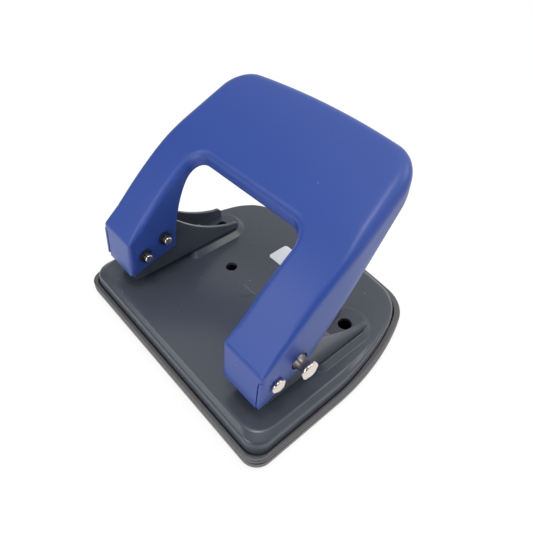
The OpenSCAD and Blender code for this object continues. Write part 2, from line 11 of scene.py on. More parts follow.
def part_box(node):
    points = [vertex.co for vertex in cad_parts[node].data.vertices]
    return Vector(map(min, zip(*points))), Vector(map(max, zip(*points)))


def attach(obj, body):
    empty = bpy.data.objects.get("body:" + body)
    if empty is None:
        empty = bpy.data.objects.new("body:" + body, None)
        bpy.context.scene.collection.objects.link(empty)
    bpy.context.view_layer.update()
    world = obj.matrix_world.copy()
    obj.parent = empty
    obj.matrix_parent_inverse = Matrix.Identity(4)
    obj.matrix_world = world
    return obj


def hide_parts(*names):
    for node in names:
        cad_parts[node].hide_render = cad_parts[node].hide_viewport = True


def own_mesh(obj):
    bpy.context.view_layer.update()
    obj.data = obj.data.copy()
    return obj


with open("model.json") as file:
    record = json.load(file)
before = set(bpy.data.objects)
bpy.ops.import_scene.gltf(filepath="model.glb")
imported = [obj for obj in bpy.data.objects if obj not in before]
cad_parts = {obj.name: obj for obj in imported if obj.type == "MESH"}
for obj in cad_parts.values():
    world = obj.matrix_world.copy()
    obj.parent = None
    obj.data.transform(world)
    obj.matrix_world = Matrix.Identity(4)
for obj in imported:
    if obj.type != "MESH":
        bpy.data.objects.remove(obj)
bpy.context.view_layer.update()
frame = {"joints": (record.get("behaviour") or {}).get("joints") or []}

bl_info = {
    "name": "Desk Punch",
    "version": (1, 0, 0),
    "blender": (4, 5, 0),
    "location": "3D View > Sidebar > Desk Punch",
    "description": "Models the sheet, steel and plastic pieces of a two-hole desk punch",
    "category": "Object",
}

SIDES = {"left": -1, "right": 1}


def mm(value):
    """Millimetres as Blender's metres."""
    return value / 1000


def middle(node):
    """Centre of a node of the frame."""
    low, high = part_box(node)
    return (Vector(low) + Vector(high)) / 2


# Places that the frame gives
JOINTS = {joint["name"]: joint for joint in frame["joints"]}
PIVOT = Vector(JOINTS["lever_press"]["pos_m"])
LEG_X = middle("right_punch").x
PUNCH_Y = middle("right_punch").y
DRIVE_Z = middle("lock_knob").z
HALF_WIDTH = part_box("chip_tray")[1][0]
HALF_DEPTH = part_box("chip_tray")[1][1]
PAD_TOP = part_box("base_plate")[1][2]
PLATE_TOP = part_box("left_bracket")[0][2] - mm(2)
STOP_Y = PUNCH_Y + mm(12)
DRIVE_ANGLE = atan2(DRIVE_Z - PIVOT.z, PUNCH_Y - PIVOT.y)
PRESS_ANGLE = radians(JOINTS["lever_press"]["range_deg"][1])
CRANK = hypot(DRIVE_Z - PIVOT.z, PUNCH_Y - PIVOT.y)


def length(name, description, millimetres):
    return bpy.props.FloatProperty(
        name=name, description=description, default=mm(millimetres), min=0.0, precision=5, unit="LENGTH"
    )


def turn(name, description, degrees):
    return bpy.props.FloatProperty(
        name=name, description=description, default=radians(degrees), subtype="ANGLE"
    )


def colour(name, description, *rgb):
    return bpy.props.FloatVectorProperty(
        name=name, description=description, default=rgb, size=3, min=0.0, max=1.0, subtype="COLOR"
    )


def share(name, description, value):
    return bpy.props.FloatProperty(
        name=name, description=description, default=value, min=0.0, max=1.0, subtype="FACTOR"
    )


def power(name, description, watts):
    return bpy.props.FloatProperty(
        name=name, description=description, default=watts, min=0.0, unit="POWER"
    )


class LeverSettings(bpy.types.PropertyGroup):
    leg_width: length("Leg width", "Outer width of each leg", 19.6)
    sheet: length("Sheet", "Thickness of the lever sheet", 1.2)
    slope: turn("Slope", "Slope of the legs at rest", 43)
    handle_radius: length("Handle radius", "Radius of the long curve of the handle", 190)
    handle_reach: length("Handle reach", "Reach of the handle behind the punches", 58.4)
    handle_taper: turn("Handle taper", "Angle at which the sides of the handle draw in", 7.5)
    handle_corner: length("Handle corner", "Radius of the back corners of the handle", 14)
    window_reach: length("Window reach", "Depth of the window behind the punches", 19.9)
    window_corner: length("Window corner", "Radius of the corners of the window", 7.2)
    front_bend: length("Front bend", "Bend radius round the front tabs", 0.9)
    leg_bend: length("Leg bend", "Bend radius along the legs", 2.6)
    window_bend: length("Window bend", "Bend radius along the back edge of the window", 1.9)
    handle_bend: length("Handle bend", "Bend radius along the handle", 5.1)
    slit: length("Slit", "Width of the slit beside each front tab", 0.6)
    paint: colour("Paint", "Satin blue of the lever", 0.028, 0.072, 0.335)


class BaseSettings(bpy.types.PropertyGroup):
    sheet: length("Sheet", "Thickness of the base sheet", 1.5)
    edge: length("Edge", "Radius of the bend below the sloping border", 1.8)
    back_edge: length("Back edge", "Radius of the bend along the back, where the border has faded out", 1.3)
    lean: length("Lean", "How far the skirt leans in towards the top", 0.8)
    border: length("Border", "Width of the sloping border inside the edge", 2.3)
    border_drop: length("Border drop", "How far the border slopes down to the edge", 1.8)
    crest: length("Crest", "Radius of the crest between the border and the plate", 1.5)
    back_ledge: length("Back ledge", "How much further the plate stands in at the back", 4.0)
    ledge_foot: share("Ledge foot", "Share of the back ledge that the foot of the skirt takes", 0.1)
    front_corner: length("Front corner", "Radius of the front corners at the foot of the skirt", 6.6)
    pad_width: length("Pad width", "Width of the raised pads at their feet", 20)
    pad_hole: length("Pad hole", "Diameter of the holes through the pads", 5.5)
    plate_hole: length("Plate hole", "Diameter of the two holes between the pads", 5)
    hole_spacing: length("Hole spacing", "Distance between those two holes", 32.6)
    label_width: length("Label width", "Width of the bare label", 21.5)
    label_depth: length("Label depth", "Depth of the bare label", 11)
    paint: colour("Paint", "Slate grey of the base and the brackets", 0.06, 0.071, 0.092)
    label: colour("Label", "White of the bare label", 0.97, 0.975, 0.98)


class TraySettings(bpy.types.PropertyGroup):
    rim_height: length("Rim height", "Height of the rim that grips the base", 6.4)
    rim_width: length("Rim width", "Thickness of the rim", 1.4)
    groove: length("Groove", "Depth of the groove round the rim", 0.6)
    front_corner: length("Front corner", "Radius of the front corners", 6.8)
    plastic: colour("Plastic", "Soft grey of the tray", 0.062, 0.06, 0.064)


class BracketSettings(bpy.types.PropertyGroup):
    width: length("Width", "Outer width of each bracket", 14.8)
    sheet: length("Sheet", "Thickness of the bracket sheet", 1.6)
    cheek_height: length("Cheek height", "Height of the cheeks above the base", 24.4)
    cheek_reach: length("Cheek reach", "Reach of the cheeks behind the punches", 40)
    tip_height: length("Tip height", "Height of the cheek tips above the base", 6.4)
    sweep: length("Sweep", "Radius of the hollow curve along the cheeks", 60)
    slot: length("Slot", "Width of the slots for the drive pins", 3.8)


class SteelSettings(bpy.types.PropertyGroup):
    pin: length("Pin", "Diameter of the pivot and drive pins", 3.4)
    pin_head: length("Pin head", "Diameter of the pin heads", 5.8)
    knob: length("Knob", "Diameter of the head of the lock knob", 7.0)
    punch: length("Punch", "Diameter of the punches", 6)
    wire: length("Wire", "Wire of the return springs", 0.7)
    nickel: colour("Nickel", "Bright plated steel of the pins", 0.7, 0.63, 0.57)
    # Darker steel of the rivets; on the knob's neck the same colour is painted shade for the dark
    # reflections that the neck shows.
    burnished_and_shade: colour("Burnished steel", "Darker steel of the knob's neck and the rivets", 0.2, 0.18, 0.17)
    ground: colour("Ground steel", "Steel of the punches and washers", 0.55, 0.55, 0.56)
    drawn: colour("Spring steel", "Steel of the return springs", 0.5, 0.5, 0.52)
    black: colour("Blackened steel", "Finish of the retaining clips", 0.018, 0.018, 0.02)


class StageSettings(bpy.types.PropertyGroup):
    front: power("Front light", "Power of the low light in front", 1.7)
    panel: power("Panel", "Power of the wide panel in front on the left", 1.7)
    crest: power("Crest light", "Power of the small light overhead that draws the crests of the base", 0.8)
    back: power("Back light", "Power of the panel behind on the right", 1.0)
    sky_top: share("Sky above", "Strength of the surroundings overhead", 0.9)
    sky_back: share("Sky behind", "Strength of the surroundings behind", 0.9)
    sky_left: share("Sky on the left", "Strength of the surroundings on the left", 0.05)
    floor: colour("Floor", "Pale floor", 0.86, 0.86, 0.87)


# Outlines and chains of edges


def arc(centre_x, centre_y, radius, start, end, steps, skip=0):
    """Points of an arc as (x, y, direction that the edge faces)."""
    angles = [start + (end - start) * i / steps for i in range(skip, steps + 1)]
    return [(centre_x + radius * cos(a), centre_y + radius * sin(a), a) for a in angles]


def drawn_in(point, distance):
    """An outline point moved in from its edge."""
    x, y, facing = point
    return Vector((x - distance * cos(facing), y - distance * sin(facing)))


def both_sides(half):
    """The right half of a closed outline with its mirrored left half."""
    return half + [(-x, y, pi - facing) for x, y, facing in reversed(half[:-1])]


def side_and_back(half_width, back_y, bow, bow_turn, run, corner, corner_turn, counts):
    """Right side of an outline: a long curve, a straight run, a corner and a bowed back."""
    corner_x = half_width - bow + (bow - corner) * cos(bow_turn) - run * sin(bow_turn)
    corner_dy = (bow - corner) * sin(bow_turn) + run * cos(bow_turn)
    back = corner + corner_x / cos(corner_turn)
    back_dy = corner_dy + (corner - back) * sin(corner_turn)
    side_y = back_y - back_dy - back
    return (
        arc(half_width - bow, side_y, bow, 0, bow_turn, counts[0])
        + arc(corner_x, side_y + corner_dy, corner, bow_turn, corner_turn, counts[1], 0 if run else 1)
        + arc(0, side_y + back_dy, back, corner_turn, pi / 2, counts[2], 1)
    )


def fillet(corners, closed=False, steps=5):
    """Points along (x, y, radius) corners, with an arc at each corner that has a radius."""
    points = []
    for i, (x, y, radius) in enumerate(corners):
        here = Vector((x, y))
        at_end = not closed and i in (0, len(corners) - 1)
        if radius == 0 or at_end:
            points.append(here)
            continue
        before = (Vector(corners[i - 1][:2]) - here).normalized()
        after = (Vector(corners[(i + 1) % len(corners)][:2]) - here).normalized()
        half = before.angle(after) / 2
        centre = here + (before + after).normalized() * radius / sin(half)
        start = here + before * radius / tan(half) - centre
        sweep = pi - 2 * half
        if before.x * after.y - before.y * after.x > 0:
            sweep = -sweep
        first = atan2(start.y, start.x)
        angles = [first + sweep * k / steps for k in range(steps + 1)]
        points += [centre + radius * Vector((cos(a), sin(a))) for a in angles]
    return points


def chain(bm, points, closed=False):
    """A chain of edges through points."""
    verts = [bm.verts.new(point) for point in points]
    ends = verts[1:] + verts[:1] if closed else verts[1:]
    for a, b in zip(verts, ends):
        bm.edges.new((a, b))
    return verts


def edges_of(bm, verts, closed=False):
    ends = verts[1:] + verts[:1] if closed else verts[1:]
    return [bm.edges.get(pair) for pair in zip(verts, ends)]


def extend(bm, verts, points, closed=False):
    """Extrudes a chain of edges, moves the copy to the points and returns it."""
    made = bmesh.ops.extrude_edge_only(bm, edges=edges_of(bm, verts, closed))["geom"]
    fresh = {item for item in made if isinstance(item, bmesh.types.BMVert)}
    far = []
    for vert, point in zip(verts, points):
        twin = next(e.other_vert(vert) for e in vert.link_edges if e.other_vert(vert) in fresh)
        twin.co = point
        far.append(twin)
    return far


def loft(bm, rings, closed=True):
    """Skin through rings of points; returns its first and last chain."""
    first = chain(bm, rings[0], closed)
    last = first
    for ring in rings[1:]:
        last = extend(bm, last, ring, closed)
    return first, last


def cap(bm, *loops):
    """Flat face between loops: the first round the outside, the others round holes."""
    edges = [edge for loop in loops for edge in edges_of(bm, loop, True)]
    bmesh.ops.triangle_fill(bm, use_beauty=True, edges=edges)


def prism(bm, points, run):
    """A closed outline swept along a straight run."""
    face = bm.faces.new([bm.verts.new(point) for point in points])
    made = bmesh.ops.extrude_face_region(bm, geom=[face])["geom"]
    bmesh.ops.translate(bm, vec=run, verts=[v for v in made if isinstance(v, bmesh.types.BMVert)])


def lathe(bm, profile, place, steps=56):
    """Spins a profile of (radius, height) points and puts it in its place."""
    old = set(bm.verts)
    verts = chain(bm, [(radius, 0, height) for radius, height in profile])
    bmesh.ops.spin(
        bm, geom=verts + edges_of(bm, verts), cent=(0, 0, 0), axis=(0, 0, 1), dvec=(0, 0, 0),
        angle=tau, steps=steps, use_merge=True,
    )
    bmesh.ops.transform(bm, matrix=place, verts=[v for v in bm.verts if v not in old])


def settle(bm):
    """Merges doubles and turns the faces outwards."""
    bmesh.ops.remove_doubles(bm, verts=bm.verts, dist=mm(0.0005))
    bmesh.ops.recalc_face_normals(bm, faces=bm.faces)


def to_object(bm, name):
    settle(bm)
    mesh = bpy.data.meshes.new(name)
    bm.to_mesh(mesh)
    bm.free()
    obj = bpy.data.objects.new(name, mesh)
    bpy.context.scene.collection.objects.link(obj)
    return obj


def bake(obj):
    """Applies the modifiers of a piece to its mesh."""
    depsgraph = bpy.context.evaluated_depsgraph_get()
    rough = obj.data
    obj.data = bpy.data.meshes.new_from_object(obj.evaluated_get(depsgraph))
    obj.modifiers.clear()
    name = rough.name
    bpy.data.meshes.remove(rough)
    obj.data.name = name


def combine(obj, bm, operation):
    """Cuts a piece with a solid, or keeps what the two share."""
    tool = to_object(bm, obj.name + "_tool")
    step = obj.modifiers.new("combine", "BOOLEAN")
    step.object = tool
    step.operation = operation
    step.solver = "EXACT"
    bake(obj)
    bpy.data.meshes.remove(tool.data)


def soften(obj, width, segments=2, angle=radians(40)):
    """Rounds the sharp edges of a piece a little."""
    step = obj.modifiers.new("soften", "BEVEL")
    step.width = width
    step.segments = segments
    step.limit_method = "ANGLE"
    step.angle_limit = angle
    step.use_clamp_overlap = True
    bake(obj)


def turned(name, profile, *places, steps=56):
    """A piece spun from one profile at each of its places."""
    bm = bmesh.new()
    for place in places:
        lathe(bm, profile, place, steps)
    return to_object(bm, name)


def cut_rods(obj, *rods):
    """Cuts round holes, each given as (radius, low, high, place), out of a piece."""
    bm = bmesh.new()
    for radius, low, high, place in rods:
        lathe(bm, [(0, low), (radius, low), (radius, high), (0, high)], place)
    combine(obj, bm, "DIFFERENCE")


def cut_prism(obj, points, run, operation="DIFFERENCE"):
    """Cuts a piece with a swept outline, or keeps what the two share."""
    bm = bmesh.new()
    prism(bm, points, run)
    combine(obj, bm, operation)


def dress(obj, body, slot, material, *nodes, crease=radians(38)):
    """Shades a piece, gives it its finish and ties it to the frame."""
    if not obj.data.polygons:
        raise RuntimeError(obj.name + " has no faces")
    obj.data.shade_smooth()
    obj.data.set_sharp_from_angle(angle=crease)
    obj.data.materials.clear()
    obj.data.materials.append(material)
    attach(obj, body)
    if nodes:
        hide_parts(*nodes)


# Finishes


def add_node(tree, kind, **values):
    node = tree.nodes.new(kind)
    for name, value in values.items():
        if hasattr(node, name):
            setattr(node, name, value)
        else:
            node.inputs[name.replace("_", " ")].default_value = value
    return node


def new_group(name, inputs, outputs):
    """A shader node group with float inputs, a vector input and float outputs."""
    group = bpy.data.node_groups.new(name, "ShaderNodeTree")
    group.interface.new_socket("Vector", in_out="INPUT", socket_type="NodeSocketVector")
    for socket, value in inputs.items():
        item = group.interface.new_socket(socket, in_out="INPUT", socket_type="NodeSocketFloat")
        item.default_value = value
    for socket in outputs:
        group.interface.new_socket(socket, in_out="OUTPUT", socket_type="NodeSocketFloat")
    return group, group.nodes.new("NodeGroupInput"), group.nodes.new("NodeGroupOutput")


def mottle_group():
    """Slow drift of tone and fine grain, which every finish uses."""
    if "mottle" in bpy.data.node_groups:
        return bpy.data.node_groups["mottle"]
    scales = {"Drift Scale": 30.0, "Grain Scale": 900.0}
    group, given, result = new_group("mottle", scales, ["Drift", "Grain"])
    for scale, output, detail in (("Drift Scale", "Drift", 3.0), ("Grain Scale", "Grain", 2.0)):
        noise = add_node(group, "ShaderNodeTexNoise", Detail=detail, Roughness=0.5)
        group.links.new(given.outputs["Vector"], noise.inputs["Vector"])
        group.links.new(given.outputs[scale], noise.inputs["Scale"])
        group.links.new(noise.outputs["Fac"], result.inputs[output])
    return group


def dust_group():
    """Scattered specks: small round dots in a few cells of a random pattern."""
    if "dust" in bpy.data.node_groups:
        return bpy.data.node_groups["dust"]
    group, given, result = new_group("dust", {"Cells": 400.0, "Size": 0.1, "Share": 0.2}, ["Mask"])
    cells = add_node(group, "ShaderNodeTexVoronoi", feature="F1")
    near = add_node(group, "ShaderNodeMath", operation="LESS_THAN")
    split = add_node(group, "ShaderNodeSeparateColor")
    chosen = add_node(group, "ShaderNodeMath", operation="LESS_THAN")
    vary = add_node(group, "ShaderNodeMath", operation="MULTIPLY")
    both = add_node(group, "ShaderNodeMath", operation="MULTIPLY")
    links = group.links
    links.new(given.outputs["Vector"], cells.inputs["Vector"])
    links.new(given.outputs["Cells"], cells.inputs["Scale"])
    links.new(cells.outputs["Color"], split.inputs["Color"])
    links.new(given.outputs["Size"], vary.inputs[0])
    links.new(split.outputs["Green"], vary.inputs[1])
    links.new(cells.outputs["Distance"], near.inputs[0])
    links.new(vary.outputs[0], near.inputs[1])
    links.new(split.outputs["Red"], chosen.inputs[0])
    links.new(given.outputs["Share"], chosen.inputs[1])
    links.new(near.outputs[0], both.inputs[0])
    links.new(chosen.outputs[0], both.inputs[1])
    links.new(both.outputs[0], result.inputs["Mask"])
    return group


DUST_COLOUR = (0.24, 0.25, 0.27, 1)
GRAIN_DEPTH = mm(0.2)
FINISHES = {
    "satin_blue_paint": dict(roughness=0.38, drift=0.05, grain=1500, bump=0.05, dust=0.01),
    "slate_grey_paint": dict(roughness=0.25, drift=0.06, grain=1800, bump=0.05, dust=0.4),
    "soft_grey_plastic": dict(roughness=0.4, drift=0.08, grain=2600, bump=0.08, dust=0.1, specular=0.9),
    "label_white": dict(roughness=0.45, drift=0.02, grain=2000, bump=0.02),
    "nickel_plate": dict(roughness=0.16, metal=1.0, drift=0.05, grain=3000, bump=0.01, spread=0.3),
    "ground_steel": dict(roughness=0.3, metal=1.0, drift=0.1, grain=2500, bump=0.06, spread=0.2),
    "spring_steel": dict(roughness=0.27, metal=1.0, drift=0.1, grain=2500, bump=0.04, spread=0.2),
    # The rivets' darker steel; on the knob's neck this finish is painted shade.
    "burnished_steel_and_shade": dict(roughness=0.32, metal=0.8, drift=0.15, grain=2500, bump=0.04, spread=0.2),
    "black_oxide": dict(roughness=0.38, metal=0.3, drift=0.15, grain=2500, bump=0.05, spread=0.2),
}


def finish(name, rgb):
    """One of the finishes in a colour; pieces that share a finish share its material."""
    if name not in bpy.data.materials:
        build_finish(bpy.data.materials.new(name), rgb, **FINISHES[name])
    return bpy.data.materials[name]


def build_finish(material, rgb, roughness, drift, grain, bump, metal=0.0, dust=0.0, spread=0.08,
                 specular=0.5):
    """Paint, plastic or metal with tone drift, grain and dust."""
    material.use_nodes = True
    tree = material.node_tree
    links = tree.links
    shader = tree.nodes["Principled BSDF"]
    shader.inputs["Metallic"].default_value = metal
    shader.inputs["Specular IOR Level"].default_value = specular
    place = add_node(tree, "ShaderNodeTexCoord")
    mottle = add_node(tree, "ShaderNodeGroup", node_tree=mottle_group(), Grain_Scale=grain)
    links.new(place.outputs["Object"], mottle.inputs["Vector"])
    tone = add_node(tree, "ShaderNodeMix", data_type="RGBA")
    tone.inputs["A"].default_value = (*[c * (1 - drift) for c in rgb], 1)
    tone.inputs["B"].default_value = (*[min(1, c * (1 + drift)) for c in rgb], 1)
    links.new(mottle.outputs["Drift"], tone.inputs["Factor"])
    base = tone.outputs["Result"]
    if dust:
        specks = add_node(tree, "ShaderNodeGroup", node_tree=dust_group(), Share=dust)
        links.new(place.outputs["Object"], specks.inputs["Vector"])
        dusty = add_node(tree, "ShaderNodeMix", data_type="RGBA", B=DUST_COLOUR)
        links.new(specks.outputs["Mask"], dusty.inputs["Factor"])
        links.new(base, dusty.inputs["A"])
        base = dusty.outputs["Result"]
    links.new(base, shader.inputs["Base Color"])
    smoothest = roughness * (1 - spread)
    roughest = roughness * (1 + spread)
    gloss = add_node(tree, "ShaderNodeMapRange", To_Min=smoothest, To_Max=roughest)
    links.new(mottle.outputs["Drift"], gloss.inputs["Value"])
    links.new(gloss.outputs["Result"], shader.inputs["Roughness"])
    relief = add_node(tree, "ShaderNodeBump", Strength=bump, Distance=GRAIN_DEPTH)
    links.new(mottle.outputs["Grain"], relief.inputs["Height"])
    links.new(relief.outputs["Normal"], shader.inputs["Normal"])


# Lever


def smooth(t):
    """Eases a share from 0 to 1."""
    return t * t * (3 - 2 * t)


class LeverShape:
    """Side view, plan and edges of the lever, all worked out from its settings."""

    front_reach = mm(6.4)
    front_rise = mm(8.3)
    bend_start = mm(5.7)
    tab_lean = radians(5.5)
    tab_drop = mm(16.1)
    heel = Vector((mm(15.2), mm(2.2)))
    heel_turn = radians(53)
    skirt_radius = mm(215)
    window_heel = Vector((mm(14.2), mm(-2.4)))
    wall_pulls = (Vector((0.1, 0.3)), Vector((0.26, 0.77)))
    flange_drop = mm(5)
    bow = mm(92)
    run = mm(17)
    corner_turn = radians(84)
    front_blend = mm(7)
    tab_depth = mm(4)
    inner_corner = 1.2
    leg_margin = mm(1)
    least_row = mm(0.1)
    across = 12
    leg_rows = 26
    wall_rows = 14
    corner_rows = 4
    bend_rows = 7
    slit_top = 0.12
    wall_parts = (0.15, 0.45, 0.7, 1.0)

    def __init__(self, settings):
        self.s = settings
        self.front_y = PIVOT.y - self.front_reach
        self.front_z = PIVOT.z + self.front_rise
        bend_y = PIVOT.y + self.bend_start
        bend_z = self.front_z + (bend_y - self.front_y) * tan(settings.slope)
        self.sweep_y = bend_y + settings.handle_radius * sin(settings.slope)
        self.sweep_z = bend_z - settings.handle_radius * cos(settings.slope)
        self.bend_y = bend_y
        self.outer_x = LEG_X + settings.leg_width / 2
        self.inner_x = LEG_X - settings.leg_width / 2
        self.back_y = PUNCH_Y + settings.handle_reach
        self.window_y = PUNCH_Y + settings.window_reach
        self.tab_run = self.tab_drop * tan(self.tab_lean)
        self.foot_slope = self.slope_to(self.heel)
        self.window_slope = self.slope_to(self.window_heel)
        self.handle = side_and_back(self.outer_x, self.back_y, self.bow, settings.handle_taper, self.run,
                                    settings.handle_corner, self.corner_turn, (8, 14, 9))
        self.window = self.window_edge(len(self.handle))
        self.leg_end = min(self.handle[0][1], self.window[0][1]) - self.leg_margin

    def slope_to(self, heel):
        """Slope of a wall's foot from the foot of the front tab up to its heel."""
        return (heel.y + self.tab_drop - self.front_rise) / (heel.x + self.front_reach + self.tab_run)

    def window_edge(self, count):
        """Edge of the window from the leg to the middle, with as many points as the handle's edge."""
        s = self.s
        bent = count // 2
        centre = (self.inner_x - s.window_corner, self.window_y - s.window_corner)
        corner = arc(*centre, s.window_corner, 0, pi / 2, bent)
        straight = count - bent - 1
        marks = [centre[0] * (1 - i / straight) for i in range(1, straight + 1)]
        back = [(x, self.window_y, 3 * pi / 2) for x in marks]
        return [(x, y, facing + pi) for x, y, facing in corner] + back

    def top(self, y):
        if y < self.bend_y:
            return self.front_z + (y - self.front_y) * tan(self.s.slope)
        return self.sweep_z + sqrt(self.s.handle_radius ** 2 - (y - self.sweep_y) ** 2)

    def outer_foot(self, y):
        """Height of the lower edge of the outer walls."""
        ahead = y - PIVOT.y - self.heel.x
        foot = PIVOT.z + self.heel.y
        if ahead < 0:
            return foot + ahead * self.foot_slope
        lean = asin(sin(self.heel_turn) - ahead / self.skirt_radius)
        return foot + self.skirt_radius * (cos(lean) - cos(self.heel_turn))

    def wall_curve(self, t):
        """Lower edge of a window wall from its heel to the back of the window, as (y, z)."""
        start = Vector((PIVOT.y, PIVOT.z)) + self.window_heel
        rise = Vector((self.window_y, self.top(self.window_y) - self.flange_drop)) - start
        leave, arrive = self.wall_pulls
        part = 3 * (1 - t) ** 2 * t * leave + 3 * (1 - t) * t * t * arrive + Vector((t ** 3, t ** 3))
        return start + part * rise

    def inner_foot(self, y):
        """Height of the lower edge of the walls round the window."""
        start = self.wall_curve(0)
        if y <= start.x:
            return start.y + (y - start.x) * self.window_slope
        low, high = 0.0, 1.0
        for _ in range(30):
            t = (low + high) / 2
            low, high = (t, high) if self.wall_curve(t).x < y else (low, t)
        return self.wall_curve(high).y

    def lean(self, point):
        """Share of the front tab's lean that an outline point takes."""
        _, y, facing = point
        return max(0, -sin(facing)) ** 2 if y < self.front_y + self.tab_depth else 0

    def bend(self, y, far):
        """Bend radius: tight at the front tab, then the leg's, then softer round the handle."""
        soft = min(1, max(0, 2 * (y - self.leg_end) / (self.back_y - self.leg_end)))
        return self.leg_bend(y) + (far - self.s.leg_bend) * smooth(soft)

    def window_bend(self, point):
        """Bend radius round the window: the leg's, then softer along the back."""
        _, y, facing = point
        part = max(0, facing - pi) / (pi / 2)
        return self.leg_bend(y) + (self.s.window_bend - self.s.leg_bend) * smooth(part)

    def leg_bend(self, y):
        start = min(1, max(0, (y - self.front_y) / self.front_blend))
        return self.s.front_bend + (self.s.leg_bend - self.s.front_bend) * start

    def rows(self):
        """Pairs of outline points along the right half: outer edge and window edge."""
        outer_r = self.s.front_bend
        inner_r = self.s.front_bend * self.inner_corner
        pairs = []
        for i in range(self.corner_rows):
            t = pi / 2 * i / self.corner_rows
            outer = arc(self.outer_x - outer_r, self.front_y + outer_r, outer_r, t - pi / 2, 0, 1)[0]
            inner = arc(self.inner_x + inner_r, self.front_y + inner_r, inner_r, -t - pi / 2, -pi, 1)[0]
            pairs.append((outer, inner))
        start = self.front_y + inner_r
        heel = PIVOT.y + self.window_heel.x
        marks = [start + (heel - start) * i / self.leg_rows for i in range(self.leg_rows)]
        curve = [self.wall_curve(i / self.wall_rows).x for i in range(self.wall_rows + 1)]
        marks += [y for y in curve if y < self.leg_end - self.least_row] + [self.leg_end]
        pairs += [((self.outer_x, y, 0.0), (self.inner_x, y, -pi)) for y in marks]
        return pairs + list(zip(self.handle, self.window))


def lever_rim(shape):
    """Points round the edge of the sheet: outline point, bend radius and height of the foot."""
    pairs = shape.rows()
    s = shape.s
    rows = []
    for outer, inner in pairs:
        outer_y = outer[1] - shape.lean(outer) * shape.tab_run
        inner_y = inner[1] - shape.lean(inner) * shape.tab_run
        rows.append((
            (outer, shape.bend(outer[1], s.handle_bend), shape.outer_foot(outer_y)),
            (inner, shape.window_bend(inner), shape.inner_foot(inner_y)),
        ))
    (outer_x, y, _), (inner_x, _, _) = pairs[0]
    marks = [inner_x + (outer_x - inner_x) * j / shape.across for j in range(shape.across + 1)]
    tab_foot = shape.front_z - shape.tab_drop
    return rows, [((x, y, -pi / 2), s.front_bend, tab_foot) for x in marks]


def flipped(rim_point):
    (x, y, facing), bend, foot = rim_point
    return (-x, y, pi - facing), bend, foot


def rim_place(shape, rim_point, bend_angle):
    """Place on the bend of the edge: a right angle at the top, zero where the wall starts."""
    point, bend, _ = rim_point
    flat = drawn_in(point, bend * (1 - cos(bend_angle)))
    return Vector((flat.x, flat.y, shape.top(flat.y) - bend * (1 - sin(bend_angle))))


def wall_place(shape, rim_point, part):
    """Place on the wall below the bend, from 0 at the bend to 1 at the foot."""
    (x, y, facing), bend, foot = rim_point
    start = shape.top(y) - bend
    height = start + (min(foot, start) - start) * part
    lean = tan(shape.tab_lean) * (start - height) * shape.lean((x, y, facing))
    return Vector((x, y - lean, height))


def lever_sheet(bm, shape):
    """Outer face of the whole lever: top, bends, walls and the two front tabs with their slits."""
    rows, tab = lever_rim(shape)
    rows = rows + [(flipped(outer), flipped(inner)) for outer, inner in reversed(rows[:-1])]
    top_rows = []
    for outer, inner in rows:
        start = rim_place(shape, inner, pi / 2)
        end = rim_place(shape, outer, pi / 2)
        line = [start.lerp(end, j / shape.across) for j in range(shape.across + 1)]
        top_rows.append([Vector((p.x, p.y, shape.top(p.y))) for p in line])
    verts = chain(bm, top_rows[0])
    grid = [verts]
    for row in top_rows[1:]:
        verts = extend(bm, verts, row)
        grid.append(verts)
    rim = tab + [outer for outer, inner in rows[1:-1]]
    rim += [flipped(p) for p in reversed(tab)] + [inner for outer, inner in rows[-2:0:-1]]
    loop = grid[0] + [row[-1] for row in grid[1:-1]]
    loop += grid[-1][::-1] + [row[0] for row in grid[-2:0:-1]]
    for step in range(1, shape.bend_rows + 1):
        angle = pi / 2 * (1 - step / shape.bend_rows)
        loop = extend(bm, loop, [rim_place(shape, p, angle) for p in rim], True)
    loop = extend(bm, loop, [wall_place(shape, p, shape.slit_top) for p in rim], True)
    # Below the slits the outer wall and the tabs with the window walls are two strips
    right_tab_end = shape.across
    right_wall = right_tab_end + shape.corner_rows
    left_tab_end = len(tab) + len(rows) - 2
    left_wall = left_tab_end - shape.corner_rows
    outer_strip = list(range(right_wall, left_wall + 1))
    inner_strip = list(range(left_tab_end, len(rim))) + list(range(0, right_tab_end + 1))
    tab_x = shape.outer_x - shape.s.sheet - shape.s.slit
    for strip in (outer_strip, inner_strip):
        verts = [loop[i] for i in strip]
        for part in shape.wall_parts:
            places = [wall_place(shape, rim[i], part) for i in strip]
            if strip is outer_strip:
                lean = wall_place(shape, tab[0], 0).y - wall_place(shape, tab[0], part).y
                for end in (0, -1):
                    places[end].y = shape.front_y - lean
            else:
                places[0].x = -tab_x
                places[-1].x = tab_x
            verts = extend(bm, verts, places)


def pin_places():
    """Where the pins cross the legs: (side, y, z)."""
    spots = ((PIVOT.y, PIVOT.z), (PUNCH_Y, DRIVE_Z))
    return [(side, *spot) for side in SIDES.values() for spot in spots]


def across_leg(side, y, z):
    """Frame of a leg at a pin: its z axis points out of the part."""
    return Matrix.Translation((side * LEG_X, y, z)) @ Matrix.Rotation(side * pi / 2, 4, "Y")


RUN_GAP = mm(0.05)
COLLAR_EXTRA = mm(2.8)
COLLAR_GAP = mm(0.35)


